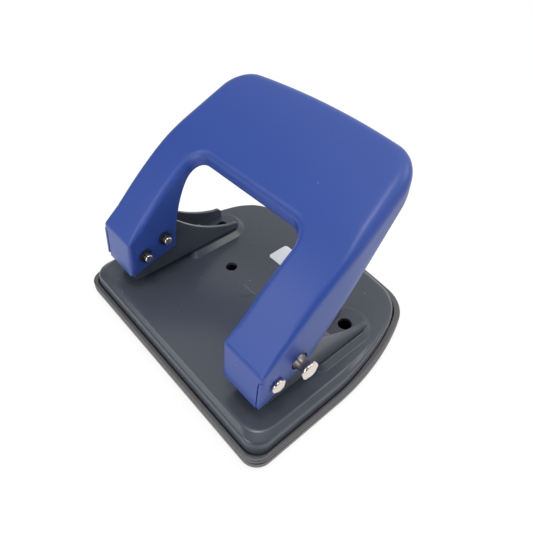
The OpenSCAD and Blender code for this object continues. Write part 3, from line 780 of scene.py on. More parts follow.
class DESKPUNCH_OT_lever(bpy.types.Operator):
    """Model the sheet lever: top, bends, walls, tabs and pin holes"""

    bl_idname = "desk_punch.lever"
    bl_label = "Lever"

    def execute(self, context):
        scene = context.scene
        settings = scene.punch_lever
        steel = scene.punch_steel
        shape = LeverShape(settings)
        bm = bmesh.new()
        lever_sheet(bm, shape)
        obj = to_object(bm, "lever_shell")
        up = max(obj.data.polygons, key=lambda face: face.center.z)
        if up.normal.z < 0:
            obj.data.flip_normals()
        wall = obj.modifiers.new("sheet", "SOLIDIFY")
        wall.thickness = settings.sheet
        wall.offset = -1
        wall.use_even_offset = True
        bake(obj)
        reach = settings.leg_width
        bore = steel.pin / 2 + RUN_GAP
        cut_rods(obj, *[(bore, -reach, reach, across_leg(*spot)) for spot in pin_places()])
        collar = (steel.pin + COLLAR_EXTRA) / 2 + COLLAR_GAP
        cut_rods(obj, (collar, 0, reach, across_leg(SIDES["right"], PUNCH_Y, DRIVE_Z)))
        soften(obj, mm(0.22))
        dress(obj, "lever", "lever_paint", finish("satin_blue_paint", settings.paint), "lever")
        return {"FINISHED"}


# Base, tray and label

LEDGE_START = HALF_DEPTH - mm(22)
LEDGE_RUN = mm(20)
CORNER_GAIN = 0.67
SEAT_GAP = mm(0.3)
SEAT_DEPTH = mm(2.8)
FADE_START = mm(-8)
FADE_RUN = mm(24)
BORDER_TRACE = mm(1.8)
TRACE_DROP = mm(0.02)
BORDER_TAIL = mm(0.8)
UNDER_BEND = mm(0.7)
UNDER_MARGIN = mm(1.2)
PAD_CORNER = mm(4)
PAD_REACH = mm(24.8)
PAD_SLOPE = mm(2.4)
PAD_FOOT_BEND = mm(0.6)
PAD_TOP_BEND = mm(0.5)
PAD_HOLE_Y = STOP_Y + mm(23.7)
PLATE_HOLE_Y = STOP_Y + mm(10.9)
MARK_TIP = STOP_Y - mm(0.5)
MARK_SIZE = mm(9)
MARK_CORNER = mm(0.5)
# Insets and heights of the rings of the centre mark, in millimetres
MARK_RELIEF = ((-0.3, 0), (0, 0), (0.5, 0.06), (1.2, 0.24), (1.8, 0.3), (2.2, 0.3))
TRAY_FLOOR = mm(1.4)
TRAY_LEDGE = mm(3)
TRAY_FOOT_BEND = mm(2.2)
RIM_BEND = mm(0.7)
RIM_CHAMFER = mm(0.2)
GROOVE_DROP = mm(1.9)
LABEL_Y = STOP_Y + mm(28)
LABEL_SHEET = mm(0.2)
LABEL_CORNER = mm(1.5)


def base_half():
    """Right half of the outline that the tray and the base share, behind the front corner."""
    bow = mm(122)
    corner = mm(17.6)
    turns = (radians(22.4), radians(81.7))
    return side_and_back(HALF_WIDTH, HALF_DEPTH, bow, turns[0], 0, corner, turns[1], (20, 16, 10))


def plan_ring(inset, height, corner, ledge=0.0):
    """A ring of the base or the tray: drawn in by an inset, further at the back where it has a ledge."""
    front = arc(HALF_WIDTH - inset - corner, inset + corner - HALF_DEPTH, corner, -pi / 2, 0, 10)
    back = []
    for point in base_half():
        along = min(1, max(0, (point[1] - LEDGE_START) / LEDGE_RUN))
        back.append((*drawn_in(point, inset + ledge * smooth(along)), point[2]))
    ring = both_sides(front + back)
    return [Vector((x, y, height)) for x, y, _ in ring]


def steel_ring(scene, inset, height, rise=0.0):
    """A ring of the pressed steel: higher up its corners are rounder and its back stands in further."""
    settings = scene.punch_base
    foot = scene.punch_tray.rim_width + SEAT_GAP
    corner = settings.front_corner + CORNER_GAIN * (inset - foot)
    ledge = settings.back_ledge * (settings.ledge_foot + (1 - settings.ledge_foot) * rise ** 2)
    return plan_ring(inset, height, corner, ledge)


def faded(front, back):
    """A ring that goes over from one shape at the front to another at the back."""
    shares = [smooth(min(1, max(0, (p.y - FADE_START) / FADE_RUN))) for p in front]
    return [a.lerp(b, t) for a, b, t in zip(front, back, shares)]


def edge_rings(scene, foot, foot_z):
    """Rings up the outside of the base: leaning and bordered at the front, upright and plain behind."""
    settings = scene.punch_base
    skirt = PLATE_TOP - foot_z
    shoulder = foot + settings.lean
    kinds = []
    for start, width, drop, edge in ((foot, settings.border, settings.border_drop, settings.edge),
                                     (shoulder, BORDER_TRACE, TRACE_DROP, settings.back_edge)):
        crease = shoulder + width
        profile = fillet([
            (start, foot_z, 0), (shoulder, PLATE_TOP - drop, edge),
            (crease, PLATE_TOP, settings.crest), (crease + BORDER_TAIL, PLATE_TOP, 0)], steps=8)
        kinds.append([steel_ring(scene, d, z, (z - foot_z) / skirt) for d, z in profile])
    return [faded(front, back) for front, back in zip(*kinds)]


def circle(x, y, radius, height, steps=40):
    return [Vector((x + radius * cos(tau * i / steps), y + radius * sin(tau * i / steps), height))
            for i in range(steps)]


def pad_ring(side, inset, height, settings):
    """Outline of a raised pad: square front with round corners, round back."""
    half = settings.pad_width / 2
    ring = both_sides(
        arc(half - PAD_CORNER, STOP_Y + PAD_CORNER, PAD_CORNER, -pi / 2, 0, 8)
        + arc(0, STOP_Y + PAD_REACH, half, 0, pi / 2, 16)
    )
    flat = [drawn_in(p, inset) for p in ring]
    return [Vector((side * LEG_X + p.x, p.y, height)) for p in flat]


def hole_wall(bm, x, y, radius, top, bottom, lip=mm(0.3)):
    """A hole with a soft lip; returns its loops on the top and on the underside."""
    profile = fillet([(radius + 2 * lip, top, 0), (radius, top, lip), (radius, bottom, 0)])
    return loft(bm, [circle(x, y, r, z) for r, z in profile])


def mark_ring(inset, height):
    """Outline of the centre mark on the plate, a small triangle that points to the front."""
    base = MARK_TIP + MARK_SIZE
    corners = [(0, MARK_TIP), (MARK_SIZE / 2, base), (-MARK_SIZE / 2, base)]
    centre = Vector((0, MARK_TIP + MARK_SIZE * 0.62))
    ring = fillet([(*corner, MARK_CORNER) for corner in corners], True, 4)
    return [Vector((*(p + (centre - p).normalized() * inset), height)) for p in ring]


class DESKPUNCH_OT_base(bpy.types.Operator):
    """Model the pressed base: rim, raised pads, holes and centre mark"""

    bl_idname = "desk_punch.base"
    bl_label = "Base"

    def execute(self, context):
        scene = context.scene
        settings = scene.punch_base
        tray = scene.punch_tray
        sheet = settings.sheet
        foot = tray.rim_width + SEAT_GAP
        foot_z = tray.rim_height - SEAT_DEPTH
        shoulder = foot + settings.lean
        under = PLATE_TOP - sheet
        skirt = PLATE_TOP - foot_z
        inner = fillet([(foot + sheet, foot_z, 0), (shoulder + sheet, under, UNDER_BEND),
                        (shoulder + sheet + UNDER_MARGIN, under, 0)], steps=5)
        inside = [steel_ring(scene, d, z, (z - foot_z) / skirt) for d, z in inner[::-1]]
        bm = bmesh.new()
        below, above = loft(bm, inside + edge_rings(scene, foot, foot_z))
        tops = [above]
        unders = [below]
        for side in SIDES.values():
            foot_loop, hollow_loop = self.pad(bm, settings, side, under)
            tops.append(foot_loop)
            unders.append(hollow_loop)
            die = scene.punch_steel.punch + 2 * RUN_GAP
            for x, y, diameter in ((side * settings.hole_spacing / 2, PLATE_HOLE_Y, settings.plate_hole),
                                   (side * LEG_X, PUNCH_Y, die)):
                upper, lower = hole_wall(bm, x, y, diameter / 2, PLATE_TOP, under)
                tops.append(upper)
                unders.append(lower)
        mark_foot, mark_top = loft(bm, [mark_ring(mm(d), PLATE_TOP + mm(z)) for d, z in MARK_RELIEF])
        tops.append(mark_foot)
        cap(bm, mark_top)
        cap(bm, *tops)
        cap(bm, *unders)
        obj = to_object(bm, "base_shell")
        dress(obj, "base", "base_paint", finish("slate_grey_paint", settings.paint), "base_plate")
        return {"FINISHED"}

    def pad(self, bm, settings, side, under):
        """A raised pad with its hole; returns its loops on the plate and on the underside."""
        sheet = settings.sheet
        margin = mm(0.4)
        under_pad = PAD_TOP - sheet
        slope = fillet([
            (-mm(0.5), PLATE_TOP, 0), (0, PLATE_TOP, PAD_FOOT_BEND), (PAD_SLOPE, PAD_TOP, PAD_TOP_BEND),
            (PAD_SLOPE + mm(0.9), PAD_TOP, 0)])
        hollow = [(sheet - margin, under), (sheet, under), (sheet + PAD_SLOPE, under_pad),
                  (sheet + PAD_SLOPE + margin, under_pad)]
        foot_loop, top_loop = loft(bm, [pad_ring(side, d, z, settings) for d, z in slope])
        hollow_loop, roof_loop = loft(bm, [pad_ring(side, d, z, settings) for d, z in hollow])
        upper, lower = hole_wall(bm, side * LEG_X, PAD_HOLE_Y, settings.pad_hole / 2, PAD_TOP, under_pad)
        cap(bm, top_loop, upper)
        cap(bm, roof_loop, lower)
        return foot_loop, hollow_loop


class DESKPUNCH_OT_tray(bpy.types.Operator):
    """Model the soft chip tray with its grooved rim"""

    bl_idname = "desk_punch.tray"
    bl_label = "Chip tray"

    def execute(self, context):
        scene = context.scene
        settings = scene.punch_tray
        height = settings.rim_height
        groove_z = height - GROOVE_DROP
        groove = settings.groove
        outside = fillet([
            (mm(6), 0, 0), (0, 0, TRAY_FOOT_BEND), (0, groove_z - groove, groove / 3),
            (groove, groove_z - groove / 3, groove / 4), (groove, groove_z + groove / 3, groove / 4),
            (0, groove_z + groove, groove / 3), (0, height, RIM_BEND), (mm(1.0), height, 0)])
        wall = settings.rim_width + mm(0.22)
        well = wall + TRAY_LEDGE
        ledge_z = height - SEAT_DEPTH
        inside = [(wall - RIM_CHAMFER, height), (wall, height - RIM_CHAMFER), (wall, ledge_z),
                  (well, ledge_z), (well, TRAY_FLOOR), (well + mm(0.6), TRAY_FLOOR)]
        lean = scene.punch_base.lean
        rings = [plan_ring(d, z, settings.front_corner - d) for d, z in outside]
        rings += [faded(steel_ring(scene, d, z), steel_ring(scene, d + lean, z)) for d, z in inside]
        bm = bmesh.new()
        for loop in loft(bm, rings):
            cap(bm, loop)
        obj = to_object(bm, "tray_shell")
        dress(obj, "chip_tray", "tray_plastic", finish("soft_grey_plastic", settings.plastic), "chip_tray")
        return {"FINISHED"}


class DESKPUNCH_OT_label(bpy.types.Operator):
    """Lay the bare label plate on the base"""

    bl_idname = "desk_punch.label"
    bl_label = "Label"

    def execute(self, context):
        settings = context.scene.punch_base
        half = settings.label_width / 2
        back = LABEL_Y + settings.label_depth
        corners = [(-half, LABEL_Y), (half, LABEL_Y), (half, back), (-half, back)]
        outline = fillet([(*corner, LABEL_CORNER) for corner in corners], True)
        bm = bmesh.new()
        prism(bm, [Vector((*p, PLATE_TOP)) for p in outline], Vector((0, 0, LABEL_SHEET)))
        obj = to_object(bm, "label_plate")
        soften(obj, mm(0.06))
        dress(obj, "base", "base_paint", finish("label_white", settings.label))
        return {"FINISHED"}


# Brackets and rivets

BRACKET_BEND = mm(2)
INNER_BEND = mm(0.6)
LOCK_GAP = mm(0.2)
WEB_BACK_Y = STOP_Y + mm(15)
RIVET_YS = (STOP_Y + mm(6.6), STOP_Y + mm(11.8))


def cheek_outline(settings):
    """Side view of a cheek as (y, z): square front, hollow sweep down to a round tip."""
    peak = Vector((PUNCH_Y + mm(7.6), PLATE_TOP + settings.cheek_height))
    nose = mm(2.4)
    tip = Vector((PUNCH_Y + settings.cheek_reach, PLATE_TOP + settings.tip_height))
    chord = tip - Vector((nose, 0)) - peak
    half = chord.length / 2
    sag = asin(half / settings.sweep)
    tilt = atan2(chord.y, chord.x)
    centre = peak + chord / 2 + sqrt(settings.sweep ** 2 - half ** 2) * Vector((-sin(tilt), cos(tilt)))
    steps = 28
    angles = [tilt - pi / 2 - sag + 2 * sag * i / steps for i in range(steps + 1)]
    sweep = [centre + settings.sweep * Vector((cos(a), sin(a))) for a in angles]
    front = PIVOT.y - mm(5.6)
    head = fillet([
        (front + mm(8), PAD_TOP, 0), (front + mm(2), PAD_TOP, mm(1)),
        (front, PAD_TOP + mm(2.5), mm(1)), (front, PIVOT.z + mm(2), mm(1)),
        (front + mm(5.8), peak.y, mm(1.5)), (*(peak - Vector((mm(1), 0))), 0)])
    tail = fillet([
        (*sweep[-2], 0), (tip.x, tip.y, nose), (tip.x, PAD_TOP, mm(0.4)), (front + mm(20), PAD_TOP, 0)])
    return head + sweep[:-1] + tail[1:]


def slot_outline(settings):
    """Curved slot that a drive pin moves along, as (y, z)."""
    half = settings.slot / 2
    low = DRIVE_ANGLE - PRESS_ANGLE
    centre = Vector((PIVOT.y, PIVOT.z))

    def spot(angle, radius):
        return centre + radius * Vector((cos(angle), sin(angle)))

    steps = 16
    track = [DRIVE_ANGLE + (low - DRIVE_ANGLE) * i / steps for i in range(steps + 1)]
    outer = [spot(a, CRANK + half) for a in track]
    inner = [spot(a, CRANK - half) for a in reversed(track)]
    ends = []
    for angle, first in ((low, low), (DRIVE_ANGLE, DRIVE_ANGLE + pi)):
        turns = [first - pi * k / 8 for k in range(1, 8)]
        ends.append([spot(angle, CRANK) + half * Vector((cos(a), sin(a))) for a in turns])
    return outer + ends[0] + inner + ends[1]


class DESKPUNCH_OT_brackets(bpy.types.Operator):
    """Model the two bent sheet brackets with their slots and holes"""

    bl_idname = "desk_punch.brackets"
    bl_label = "Brackets"

    def execute(self, context):
        scene = context.scene
        for name, side in SIDES.items():
            self.bracket(scene, name, side)
        return {"FINISHED"}

    def bracket(self, scene, name, side):
        settings = scene.punch_bracket
        steel = scene.punch_steel
        half = settings.width / 2
        inner = half - settings.sheet
        web_top = PAD_TOP + settings.sheet
        high = PLATE_TOP + settings.cheek_height + mm(2)
        middle_x = side * LEG_X
        bm = bmesh.new()
        cheek = [Vector((middle_x - half, *p)) for p in cheek_outline(settings)]
        prism(bm, cheek, Vector((2 * half, 0, 0)))
        obj = to_object(bm, name + "_bracket_sheet")
        section = fillet([
            (-half, high, 0), (-half, PAD_TOP, BRACKET_BEND),
            (half, PAD_TOP, BRACKET_BEND), (half, high, 0),
            (inner, high, 0), (inner, web_top, INNER_BEND),
            (-inner, web_top, INNER_BEND), (-inner, high, 0),
        ], True, 8)
        start = PIVOT.y - mm(20)
        channel = [Vector((middle_x + x, start, z)) for x, z in section]
        cut_prism(obj, channel, Vector((0, mm(80), 0)), "INTERSECT")
        slot = [Vector((middle_x - 2 * half, *p)) for p in slot_outline(settings)]
        cut_prism(obj, slot, Vector((4 * half, 0, 0)))
        behind = WEB_BACK_Y + mm(20)
        gap = [(-inner, WEB_BACK_Y), (inner, WEB_BACK_Y), (inner, behind), (-inner, behind)]
        below = PAD_TOP - mm(1)
        opening = [Vector((middle_x + x, y, below)) for x, y in gap]
        cut_prism(obj, opening, Vector((0, 0, settings.sheet + mm(2))))
        reach = 2 * half
        guide = Matrix.Translation((middle_x, PUNCH_Y, below))
        cut_rods(obj, (steel.pin / 2 + RUN_GAP, -reach, reach, across_leg(side, PIVOT.y, PIVOT.z)),
                 (steel.punch / 2 + RUN_GAP, 0, mm(4), guide))
        if side == SIDES["right"]:
            collar = (steel.pin + COLLAR_EXTRA) / 2 + LOCK_GAP
            turns = (DRIVE_ANGLE, DRIVE_ANGLE - PRESS_ANGLE)
            spots = [(PIVOT.y + CRANK * cos(a), PIVOT.z + CRANK * sin(a)) for a in turns]
            cut_rods(obj, *[(collar, 0, reach, across_leg(side, *spot)) for spot in spots])
        soften(obj, mm(0.3), 3)
        paint = finish("slate_grey_paint", scene.punch_base.paint)
        dress(obj, "base", "base_paint", paint, name + "_bracket")


class DESKPUNCH_OT_rivets(bpy.types.Operator):
    """Turn the rivets that hold the brackets down"""

    bl_idname = "desk_punch.rivets"
    bl_label = "Rivets"

    def execute(self, context):
        scene = context.scene
        radius = mm(1.5)
        head = 1.6 * radius
        face = head * 0.75
        rise = mm(1.3)
        dome = mm(0.6)
        rim = mm(0.15)
        under = PAD_TOP - scene.punch_base.sheet
        web_top = PAD_TOP + scene.punch_bracket.sheet
        profile = fillet([
            (0, under - rise, 0), (face, under - rise, dome), (head, under, rim), (radius, under, 0),
            (radius, web_top, 0), (head, web_top, rim), (face, web_top + rise, dome),
            (0, web_top + rise, 0)])
        spots = [Matrix.Translation((side * LEG_X, y, 0)) for side in SIDES.values() for y in RIVET_YS]
        obj = turned("rivet_set", profile, *spots, steps=32)
        steel = finish("burnished_steel_and_shade", scene.punch_steel.burnished_and_shade)
        dress(obj, "base", "tool_steel", steel, "bracket_rivets")
        return {"FINISHED"}


# Pins, knob and clips

PIN_END = mm(3)
CLIP_SHEET = mm(0.7)
CLIP_GAP = mm(0.1)
GROOVE = mm(0.45)
HEAD_EDGE = mm(0.3)


def pin_shank(half, radius):
    """Inner end of a pin: round nose and clip groove, as (radius, height, fillet) corners."""
    end = -half - PIN_END
    groove = -half - CLIP_GAP
    groove_end = groove - CLIP_SHEET - CLIP_GAP
    return [(0, end, 0), (radius, end, mm(0.5)), (radius, groove_end, 0), (radius - GROOVE, groove_end, 0),
            (radius - GROOVE, groove, 0), (radius, groove, 0)]


def crowned(radius, crown, edge):
    """Rim and low crown of a pin's head, as (radius, height, fillet) corners."""
    return [(radius, edge, mm(0.5)), (radius * 0.55, crown - mm(0.1), mm(1.5)), (0, crown, 0)]


class DESKPUNCH_OT_pins(bpy.types.Operator):
    """Turn the headed pins and the lock knob"""

    bl_idname = "desk_punch.pins"
    bl_label = "Pins and knob"

    def execute(self, context):
        scene = context.scene
        settings = scene.punch_steel
        half = scene.punch_lever.leg_width / 2
        seat = half + CLIP_GAP
        head = settings.pin_head / 2
        radius = settings.pin / 2
        crown = seat + mm(1.8)
        profile = fillet(pin_shank(half, radius) + [(radius, seat, 0), (head, seat, HEAD_EDGE)]
                         + crowned(head, crown, crown - mm(0.6)))
        spots = {"left_pivot_pin": (SIDES["left"], PIVOT.y, PIVOT.z),
                 "right_pivot_pin": (SIDES["right"], PIVOT.y, PIVOT.z),
                 "left_drive_pin": (SIDES["left"], PUNCH_Y, DRIVE_Z)}
        nickel = finish("nickel_plate", settings.nickel)
        for node, spot in spots.items():
            obj = turned(node + "_turned", profile, across_leg(*spot))
            dress(obj, "lever", "bright_steel", nickel, node)
        self.knob(scene, settings, half, radius)
        return {"FINISHED"}

    def knob(self, scene, settings, half, radius):
        """The knob's bright shank and head, and the waisted neck between them in darker steel, which is
        painted shade for the dark reflections that the neck shows.
        """
        collar = radius + COLLAR_EXTRA / 2
        rim = collar - mm(0.3)
        waist = radius + mm(0.65)
        chamfer = mm(0.2)
        start = scene.punch_bracket.width / 2 + mm(0.3)
        head_z = half + JOINTS["lock_slide"]["range_m"][1] + mm(0.3)
        steps = 16
        flare = [rim - (rim - waist) * sin(pi * i / steps) for i in range(steps + 1)]
        spool = [(flare[i], half + (head_z - half) * i / steps) for i in range(steps + 1)]
        place = across_leg(SIDES["right"], PUNCH_Y, DRIVE_Z)
        profile = [(radius, start), (collar - chamfer, start), (collar, start + chamfer),
                   (collar, half - mm(0.4))]
        # The neck takes the darker steel: painted shade for its dark reflections, set against the bright
        # head.
        obj = turned("lock_knob_neck", profile + spool, place)
        dress(obj, "lock_knob", "bright_steel", finish("burnished_steel_and_shade", settings.burnished_and_shade))
        head = settings.knob / 2
        crown = head_z + mm(1.5)
        back = head_z - mm(0.1)
        profile = fillet(pin_shank(half, radius) + [(radius, back, 0), (head, back, HEAD_EDGE)]
                         + crowned(head, crown, crown - mm(0.5)))
        obj = turned("lock_knob_turned", profile, place)
        dress(obj, "lock_knob", "bright_steel", finish("nickel_plate", settings.nickel), "lock_knob")


def clip_outline(outer, inner):
    """Retaining clip in plan: open mouth to +X, two relief notches."""
    mouth = inner * 0.7
    notch = (outer - inner) * 0.2
    outer_start = asin(mouth / outer)
    inner_start = asin(mouth / inner)
    steps = 40

    def bore(angle):
        depth = sum(max(0, 1 - ((angle - spot) / radians(22)) ** 2) for spot in (tau / 3, 2 * tau / 3))
        return inner / 2 + notch * depth

    turns = [outer_start + (tau - 2 * outer_start) * i / steps for i in range(steps + 1)]
    outside = [outer / 2 * Vector((cos(a), sin(a))) for a in turns]
    turns = [inner_start + (tau - 2 * inner_start) * i / steps for i in range(steps, -1, -1)]
    return outside + [bore(a) * Vector((cos(a), sin(a))) for a in turns]


class DESKPUNCH_OT_clips(bpy.types.Operator):
    """Stamp the retaining clips on the pins and the punches"""

    bl_idname = "desk_punch.clips"
    bl_label = "Retaining clips"

    def execute(self, context):
        scene = context.scene
        settings = scene.punch_steel
        half = scene.punch_lever.leg_width / 2
        groove = settings.pin - 2 * GROOVE
        below = Matrix.Translation((0, 0, -half - CLIP_SHEET - CLIP_GAP * 1.5))
        seat = below @ Matrix.Rotation(pi / 2, 4, "Z")
        spots = {"left_pivot_clip": ("lever", SIDES["left"], PIVOT.y, PIVOT.z),
                 "right_pivot_clip": ("lever", SIDES["right"], PIVOT.y, PIVOT.z),
                 "left_drive_clip": ("lever", SIDES["left"], PUNCH_Y, DRIVE_Z),
                 "lock_clip": ("lock_knob", SIDES["right"], PUNCH_Y, DRIVE_Z)}
        for node, (body, *spot) in spots.items():
            self.clip(settings, node, body, settings.pin + mm(2.4), groove, across_leg(*spot) @ seat)
        outer = settings.punch + mm(2.2)
        inner = settings.punch - mm(1.2)
        for name, side in SIDES.items():
            node = name + "_punch_clip"
            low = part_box(node)[0][2]
            place = Matrix.Translation((side * LEG_X, PUNCH_Y, low)) @ Matrix.Rotation(-pi / 2, 4, "Z")
            self.clip(settings, node, name + "_punch", outer, inner, place)
        return {"FINISHED"}

    def clip(self, settings, node, body, outer, inner, place):
        bm = bmesh.new()
        prism(bm, [Vector((*p, 0)) for p in clip_outline(outer, inner)], Vector((0, 0, CLIP_SHEET)))
        bmesh.ops.transform(bm, matrix=place, verts=bm.verts)
        obj = to_object(bm, node + "_stamped")
        soften(obj, mm(0.1))
        dress(obj, body, "black_clip", finish("black_oxide", settings.black), node)


# Punches, washers and springs


def heights(node):
    """Lowest and highest z of a node of the frame."""
    return [corner[2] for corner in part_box(node)]


def eye_outline(run, radius):
    """Long hole in a punch as (y, z): two half rounds set apart by a run."""
    turns = [pi / 2 * (2 * i / 12 - 1) for i in range(13)]
    right = [(run + radius * cos(a), radius * sin(a)) for a in turns]
    return right + [(-y, -z) for y, z in right]


class DESKPUNCH_OT_punches(bpy.types.Operator):
    """Turn the punches and the washers above their springs"""

    bl_idname = "desk_punch.punches"
    bl_label = "Punches and washers"

    def execute(self, context):
        scene = context.scene
        settings = scene.punch_steel
        steel = finish("ground_steel", settings.ground)
        radius = settings.punch / 2
        ring = radius - mm(0.6)
        margin = CLIP_GAP / 2
        for name, side in SIDES.items():
            low, high = heights(name + "_punch")
            clip_low, clip_high = heights(name + "_punch_clip")
            profile = fillet([
                (0, low + mm(1), 0), (radius, low, mm(0.05)), (radius, clip_low - margin, 0),
                (ring, clip_low - margin, 0), (ring, clip_high + margin, 0),
                (radius, clip_high + margin, 0),
                (radius, high, mm(0.6)), (0, high, 0)])
            place = Matrix.Translation((side * LEG_X, PUNCH_Y, 0))
            obj = turned(name + "_punch_ground", profile, place)
            shift = CRANK * (1 - cos(DRIVE_ANGLE)) / 2
            eye = eye_outline((shift + mm(0.2)) / 2, scene.punch_bracket.slot / 2)
            start = side * LEG_X - 2 * radius
            hole = [Vector((start, PUNCH_Y + shift + y, DRIVE_Z + z)) for y, z in eye]
            cut_prism(obj, hole, Vector((4 * radius, 0, 0)))
            dress(obj, name + "_punch", "tool_steel", steel, name + "_punch")
            self.washer(name, radius, place, steel)
        return {"FINISHED"}

    def washer(self, name, radius, place, steel):
        node = name + "_spring_washer"
        low, high = heights(node)
        outer = radius + mm(1.5)
        bore = radius + RUN_GAP
        corners = [(bore, low), (outer, low), (outer, high), (bore, high)]
        ring = fillet([(*corner, mm(0.15)) for corner in corners], True, 3)
        obj = turned(node + "_turned", ring + ring[:1], place)
        dress(obj, name + "_punch", "tool_steel", steel, node)


class DESKPUNCH_OT_springs(bpy.types.Operator):
    """Wind the return springs round the punches"""

    bl_idname = "desk_punch.springs"
    bl_label = "Return springs"

    def execute(self, context):
        scene = context.scene
        settings = scene.punch_steel
        wire = settings.wire / 2
        radius = settings.punch / 2 + mm(0.4) + wire
        turns = 4
        steps = 40
        sides = 12
        for name, side in SIDES.items():
            node = name + "_spring"
            low, high = heights(node)
            low += wire
            high -= wire
            rise = high - low
            slope = rise / (tau * radius * turns)
            rings = []
            for i in range(turns * steps + 1):
                angle = tau * i / steps
                out = Vector((cos(angle), sin(angle), 0))
                along = Vector((-sin(angle), cos(angle), slope)).normalized()
                across = out.cross(along)
                centre = Vector((side * LEG_X, PUNCH_Y, low + rise * i / (turns * steps))) + radius * out
                spots = [tau * k / sides for k in range(sides)]
                rings.append([centre + wire * (cos(b) * out + sin(b) * across) for b in spots])
            bm = bmesh.new()
            for end in loft(bm, rings):
                cap(bm, end)
            obj = to_object(bm, node + "_wound")
            dress(obj, "base", "spring_steel", finish("spring_steel", settings.drawn), node)
            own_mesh(obj)
        return {"FINISHED"}


# Stage

CAMERA_PLACE = Vector((0.112609, -0.095084, 0.168683))
CAMERA_TARGET = Vector((0.0017805, 0.0041786, 0.0230808))
CAMERA_ROLL = radians(1.066)
LENS = 33.595
FLOOR_GLOW = 1.1
GLOW_SHARE = 0.74


def aim(obj, place, target, roll=0.0):
    """Puts an object in a place, looking at a target."""
    back = (place - target).normalized()
    right = Vector((0, 0, 1)).cross(back).normalized()
    up = back.cross(right)
    across = right * cos(roll) + up * sin(roll)
    turned_up = up * cos(roll) - right * sin(roll)
    axes = Matrix((across, turned_up, back)).transposed()
    obj.matrix_world = Matrix.Translation(place) @ axes.to_4x4()


def soft_light(name, power, size, place, target):
    lamp = bpy.data.lights.new(name, "AREA")
    lamp.energy = power
    lamp.shape = "RECTANGLE"
    lamp.size = size[0]
    lamp.size_y = size[1]
    obj = bpy.data.objects.new(name, lamp)
    bpy.context.scene.collection.objects.link(obj)
    aim(obj, Vector(place), Vector(target))


def seen_directly(tree):
    """One for rays from the camera and for rays that metal or glass sends on."""
    path = add_node(tree, "ShaderNodeLightPath")
    total = path.outputs["Is Camera Ray"]
    for output in ("Is Glossy Ray", "Is Transmission Ray"):
        either = add_node(tree, "ShaderNodeMath", operation="MAXIMUM")
        tree.links.new(total, either.inputs[0])
        tree.links.new(path.outputs[output], either.inputs[1])
        total = either.outputs[0]
    return total


def floor_finish(settings):
    """Pale floor that stays white to the eye and keeps the shadow of the object."""
    material = bpy.data.materials.new("pale_floor")
    material.use_nodes = True
    tree = material.node_tree
    tree.nodes.remove(tree.nodes["Principled BSDF"])
    result = tree.nodes["Material Output"]
    matt = add_node(tree, "ShaderNodeBsdfDiffuse", Color=(*settings.floor, 1))
    glow = add_node(tree, "ShaderNodeEmission", Strength=FLOOR_GLOW)
    weight = add_node(tree, "ShaderNodeMath", operation="MULTIPLY")
    weight.inputs[1].default_value = GLOW_SHARE
    mix = add_node(tree, "ShaderNodeMixShader")
    tree.links.new(seen_directly(tree), weight.inputs[0])
    tree.links.new(weight.outputs[0], mix.inputs["Fac"])
    tree.links.new(matt.outputs["BSDF"], mix.inputs[1])
    tree.links.new(glow.outputs["Emission"], mix.inputs[2])
    tree.links.new(mix.outputs["Shader"], result.inputs["Surface"])
    return material


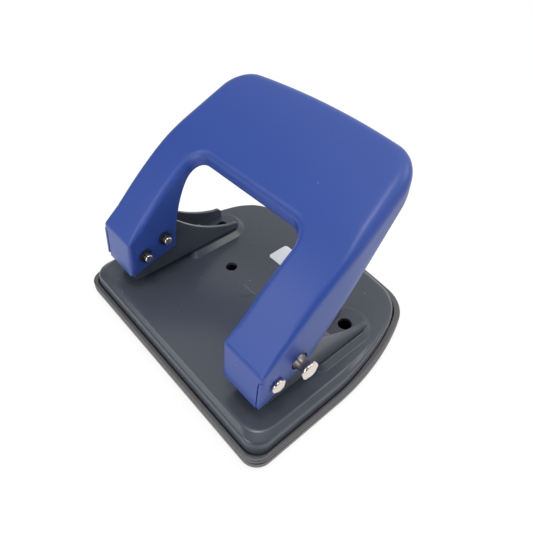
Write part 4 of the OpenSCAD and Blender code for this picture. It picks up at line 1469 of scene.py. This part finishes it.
class DESKPUNCH_OT_stage(bpy.types.Operator):
    """Set the floor, the soft lights, the white surroundings and the camera"""

    bl_idname = "desk_punch.stage"
    bl_label = "Stage"

    def execute(self, context):
        scene = context.scene
        settings = scene.punch_stage
        bm = bmesh.new()
        bmesh.ops.create_grid(bm, x_segments=1, y_segments=1, size=3.0)
        floor = to_object(bm, "floor")
        floor.data.materials.append(floor_finish(settings))
        soft_light("front_light", settings.front, (0.4, 0.3), (0.1, -0.7, 0.3), (0, 0, 0.03))
        soft_light("panel_light", settings.panel, (0.5, 0.4), (-0.42, -0.7, 0.58), (0, 0, 0.04))
        soft_light("crest_light", settings.crest, (0.15, 0.15), (0.07, -0.1, 0.67), (0, 0, 0.02))
        soft_light("back_light", settings.back, (0.4, 0.3), (0.35, 0.45, 0.6), (0, 0, 0.02))
        self.sky(scene, settings)
        camera = bpy.data.cameras.new("camera")
        camera.sensor_width = 36.0
        camera.lens = LENS
        camera.clip_start = 0.01
        view = bpy.data.objects.new("camera", camera)
        scene.collection.objects.link(view)
        aim(view, CAMERA_PLACE, CAMERA_TARGET, CAMERA_ROLL)
        scene.camera = view
        scene.view_settings.view_transform = "Standard"
        return {"FINISHED"}

    def sky(self, scene, settings):
        world = bpy.data.worlds.new("surroundings")
        world.use_nodes = True
        tree = world.node_tree
        back = tree.nodes["Background"]
        place = add_node(tree, "ShaderNodeTexCoord")
        total = None
        for axis, low, high, strength in (((0, 0, 1), 0.7, 1.0, settings.sky_top),
                                          ((0, 1, 0), -0.4, 0.7, settings.sky_back),
                                          ((-1, 0, 0), -0.4, 0.7, settings.sky_left)):
            along = add_node(tree, "ShaderNodeVectorMath", operation="DOT_PRODUCT")
            along.inputs[1].default_value = axis
            tree.links.new(place.outputs["Generated"], along.inputs[0])
            glow = add_node(tree, "ShaderNodeMapRange", From_Min=low, From_Max=high, To_Max=strength)
            tree.links.new(along.outputs["Value"], glow.inputs["Value"])
            if total:
                both = add_node(tree, "ShaderNodeMath", operation="ADD")
                tree.links.new(total, both.inputs[0])
                tree.links.new(glow.outputs["Result"], both.inputs[1])
                total = both.outputs[0]
            else:
                total = glow.outputs["Result"]
        path = add_node(tree, "ShaderNodeLightPath")
        level = add_node(tree, "ShaderNodeMix", data_type="FLOAT")
        level.inputs["B"].default_value = 1.0
        tree.links.new(total, level.inputs["A"])
        tree.links.new(path.outputs["Is Camera Ray"], level.inputs["Factor"])
        tree.links.new(level.outputs["Result"], back.inputs["Strength"])
        back.inputs["Color"].default_value = (1, 1, 1, 1)
        scene.world = world


class DESKPUNCH_PT_pieces(bpy.types.Panel):
    """Sidebar panel that lists the pieces"""

    bl_idname = "DESKPUNCH_PT_pieces"
    bl_label = "Desk Punch"
    bl_space_type = "VIEW_3D"
    bl_region_type = "UI"
    bl_category = "Desk Punch"

    def draw(self, context):
        for operator in OPERATORS:
            self.layout.operator(operator.bl_idname)


SETTINGS = {
    "punch_lever": LeverSettings,
    "punch_base": BaseSettings,
    "punch_tray": TraySettings,
    "punch_bracket": BracketSettings,
    "punch_steel": SteelSettings,
    "punch_stage": StageSettings,
}
OPERATORS = (
    DESKPUNCH_OT_base,
    DESKPUNCH_OT_tray,
    DESKPUNCH_OT_label,
    DESKPUNCH_OT_brackets,
    DESKPUNCH_OT_rivets,
    DESKPUNCH_OT_punches,
    DESKPUNCH_OT_springs,
    DESKPUNCH_OT_lever,
    DESKPUNCH_OT_pins,
    DESKPUNCH_OT_clips,
    DESKPUNCH_OT_stage,
)


def register():
    for name, group in SETTINGS.items():
        bpy.utils.register_class(group)
        setattr(bpy.types.Scene, name, bpy.props.PointerProperty(type=group))
    for item in (*OPERATORS, DESKPUNCH_PT_pieces):
        bpy.utils.register_class(item)


def unregister():
    for item in (DESKPUNCH_PT_pieces, *reversed(OPERATORS)):
        bpy.utils.unregister_class(item)
    for name, group in SETTINGS.items():
        delattr(bpy.types.Scene, name)
        bpy.utils.unregister_class(group)


def main():
    register()
    for operator in OPERATORS:
        group, name = operator.bl_idname.split(".")
        getattr(getattr(bpy.ops, group), name)()


if __name__ == "__main__":
    main()
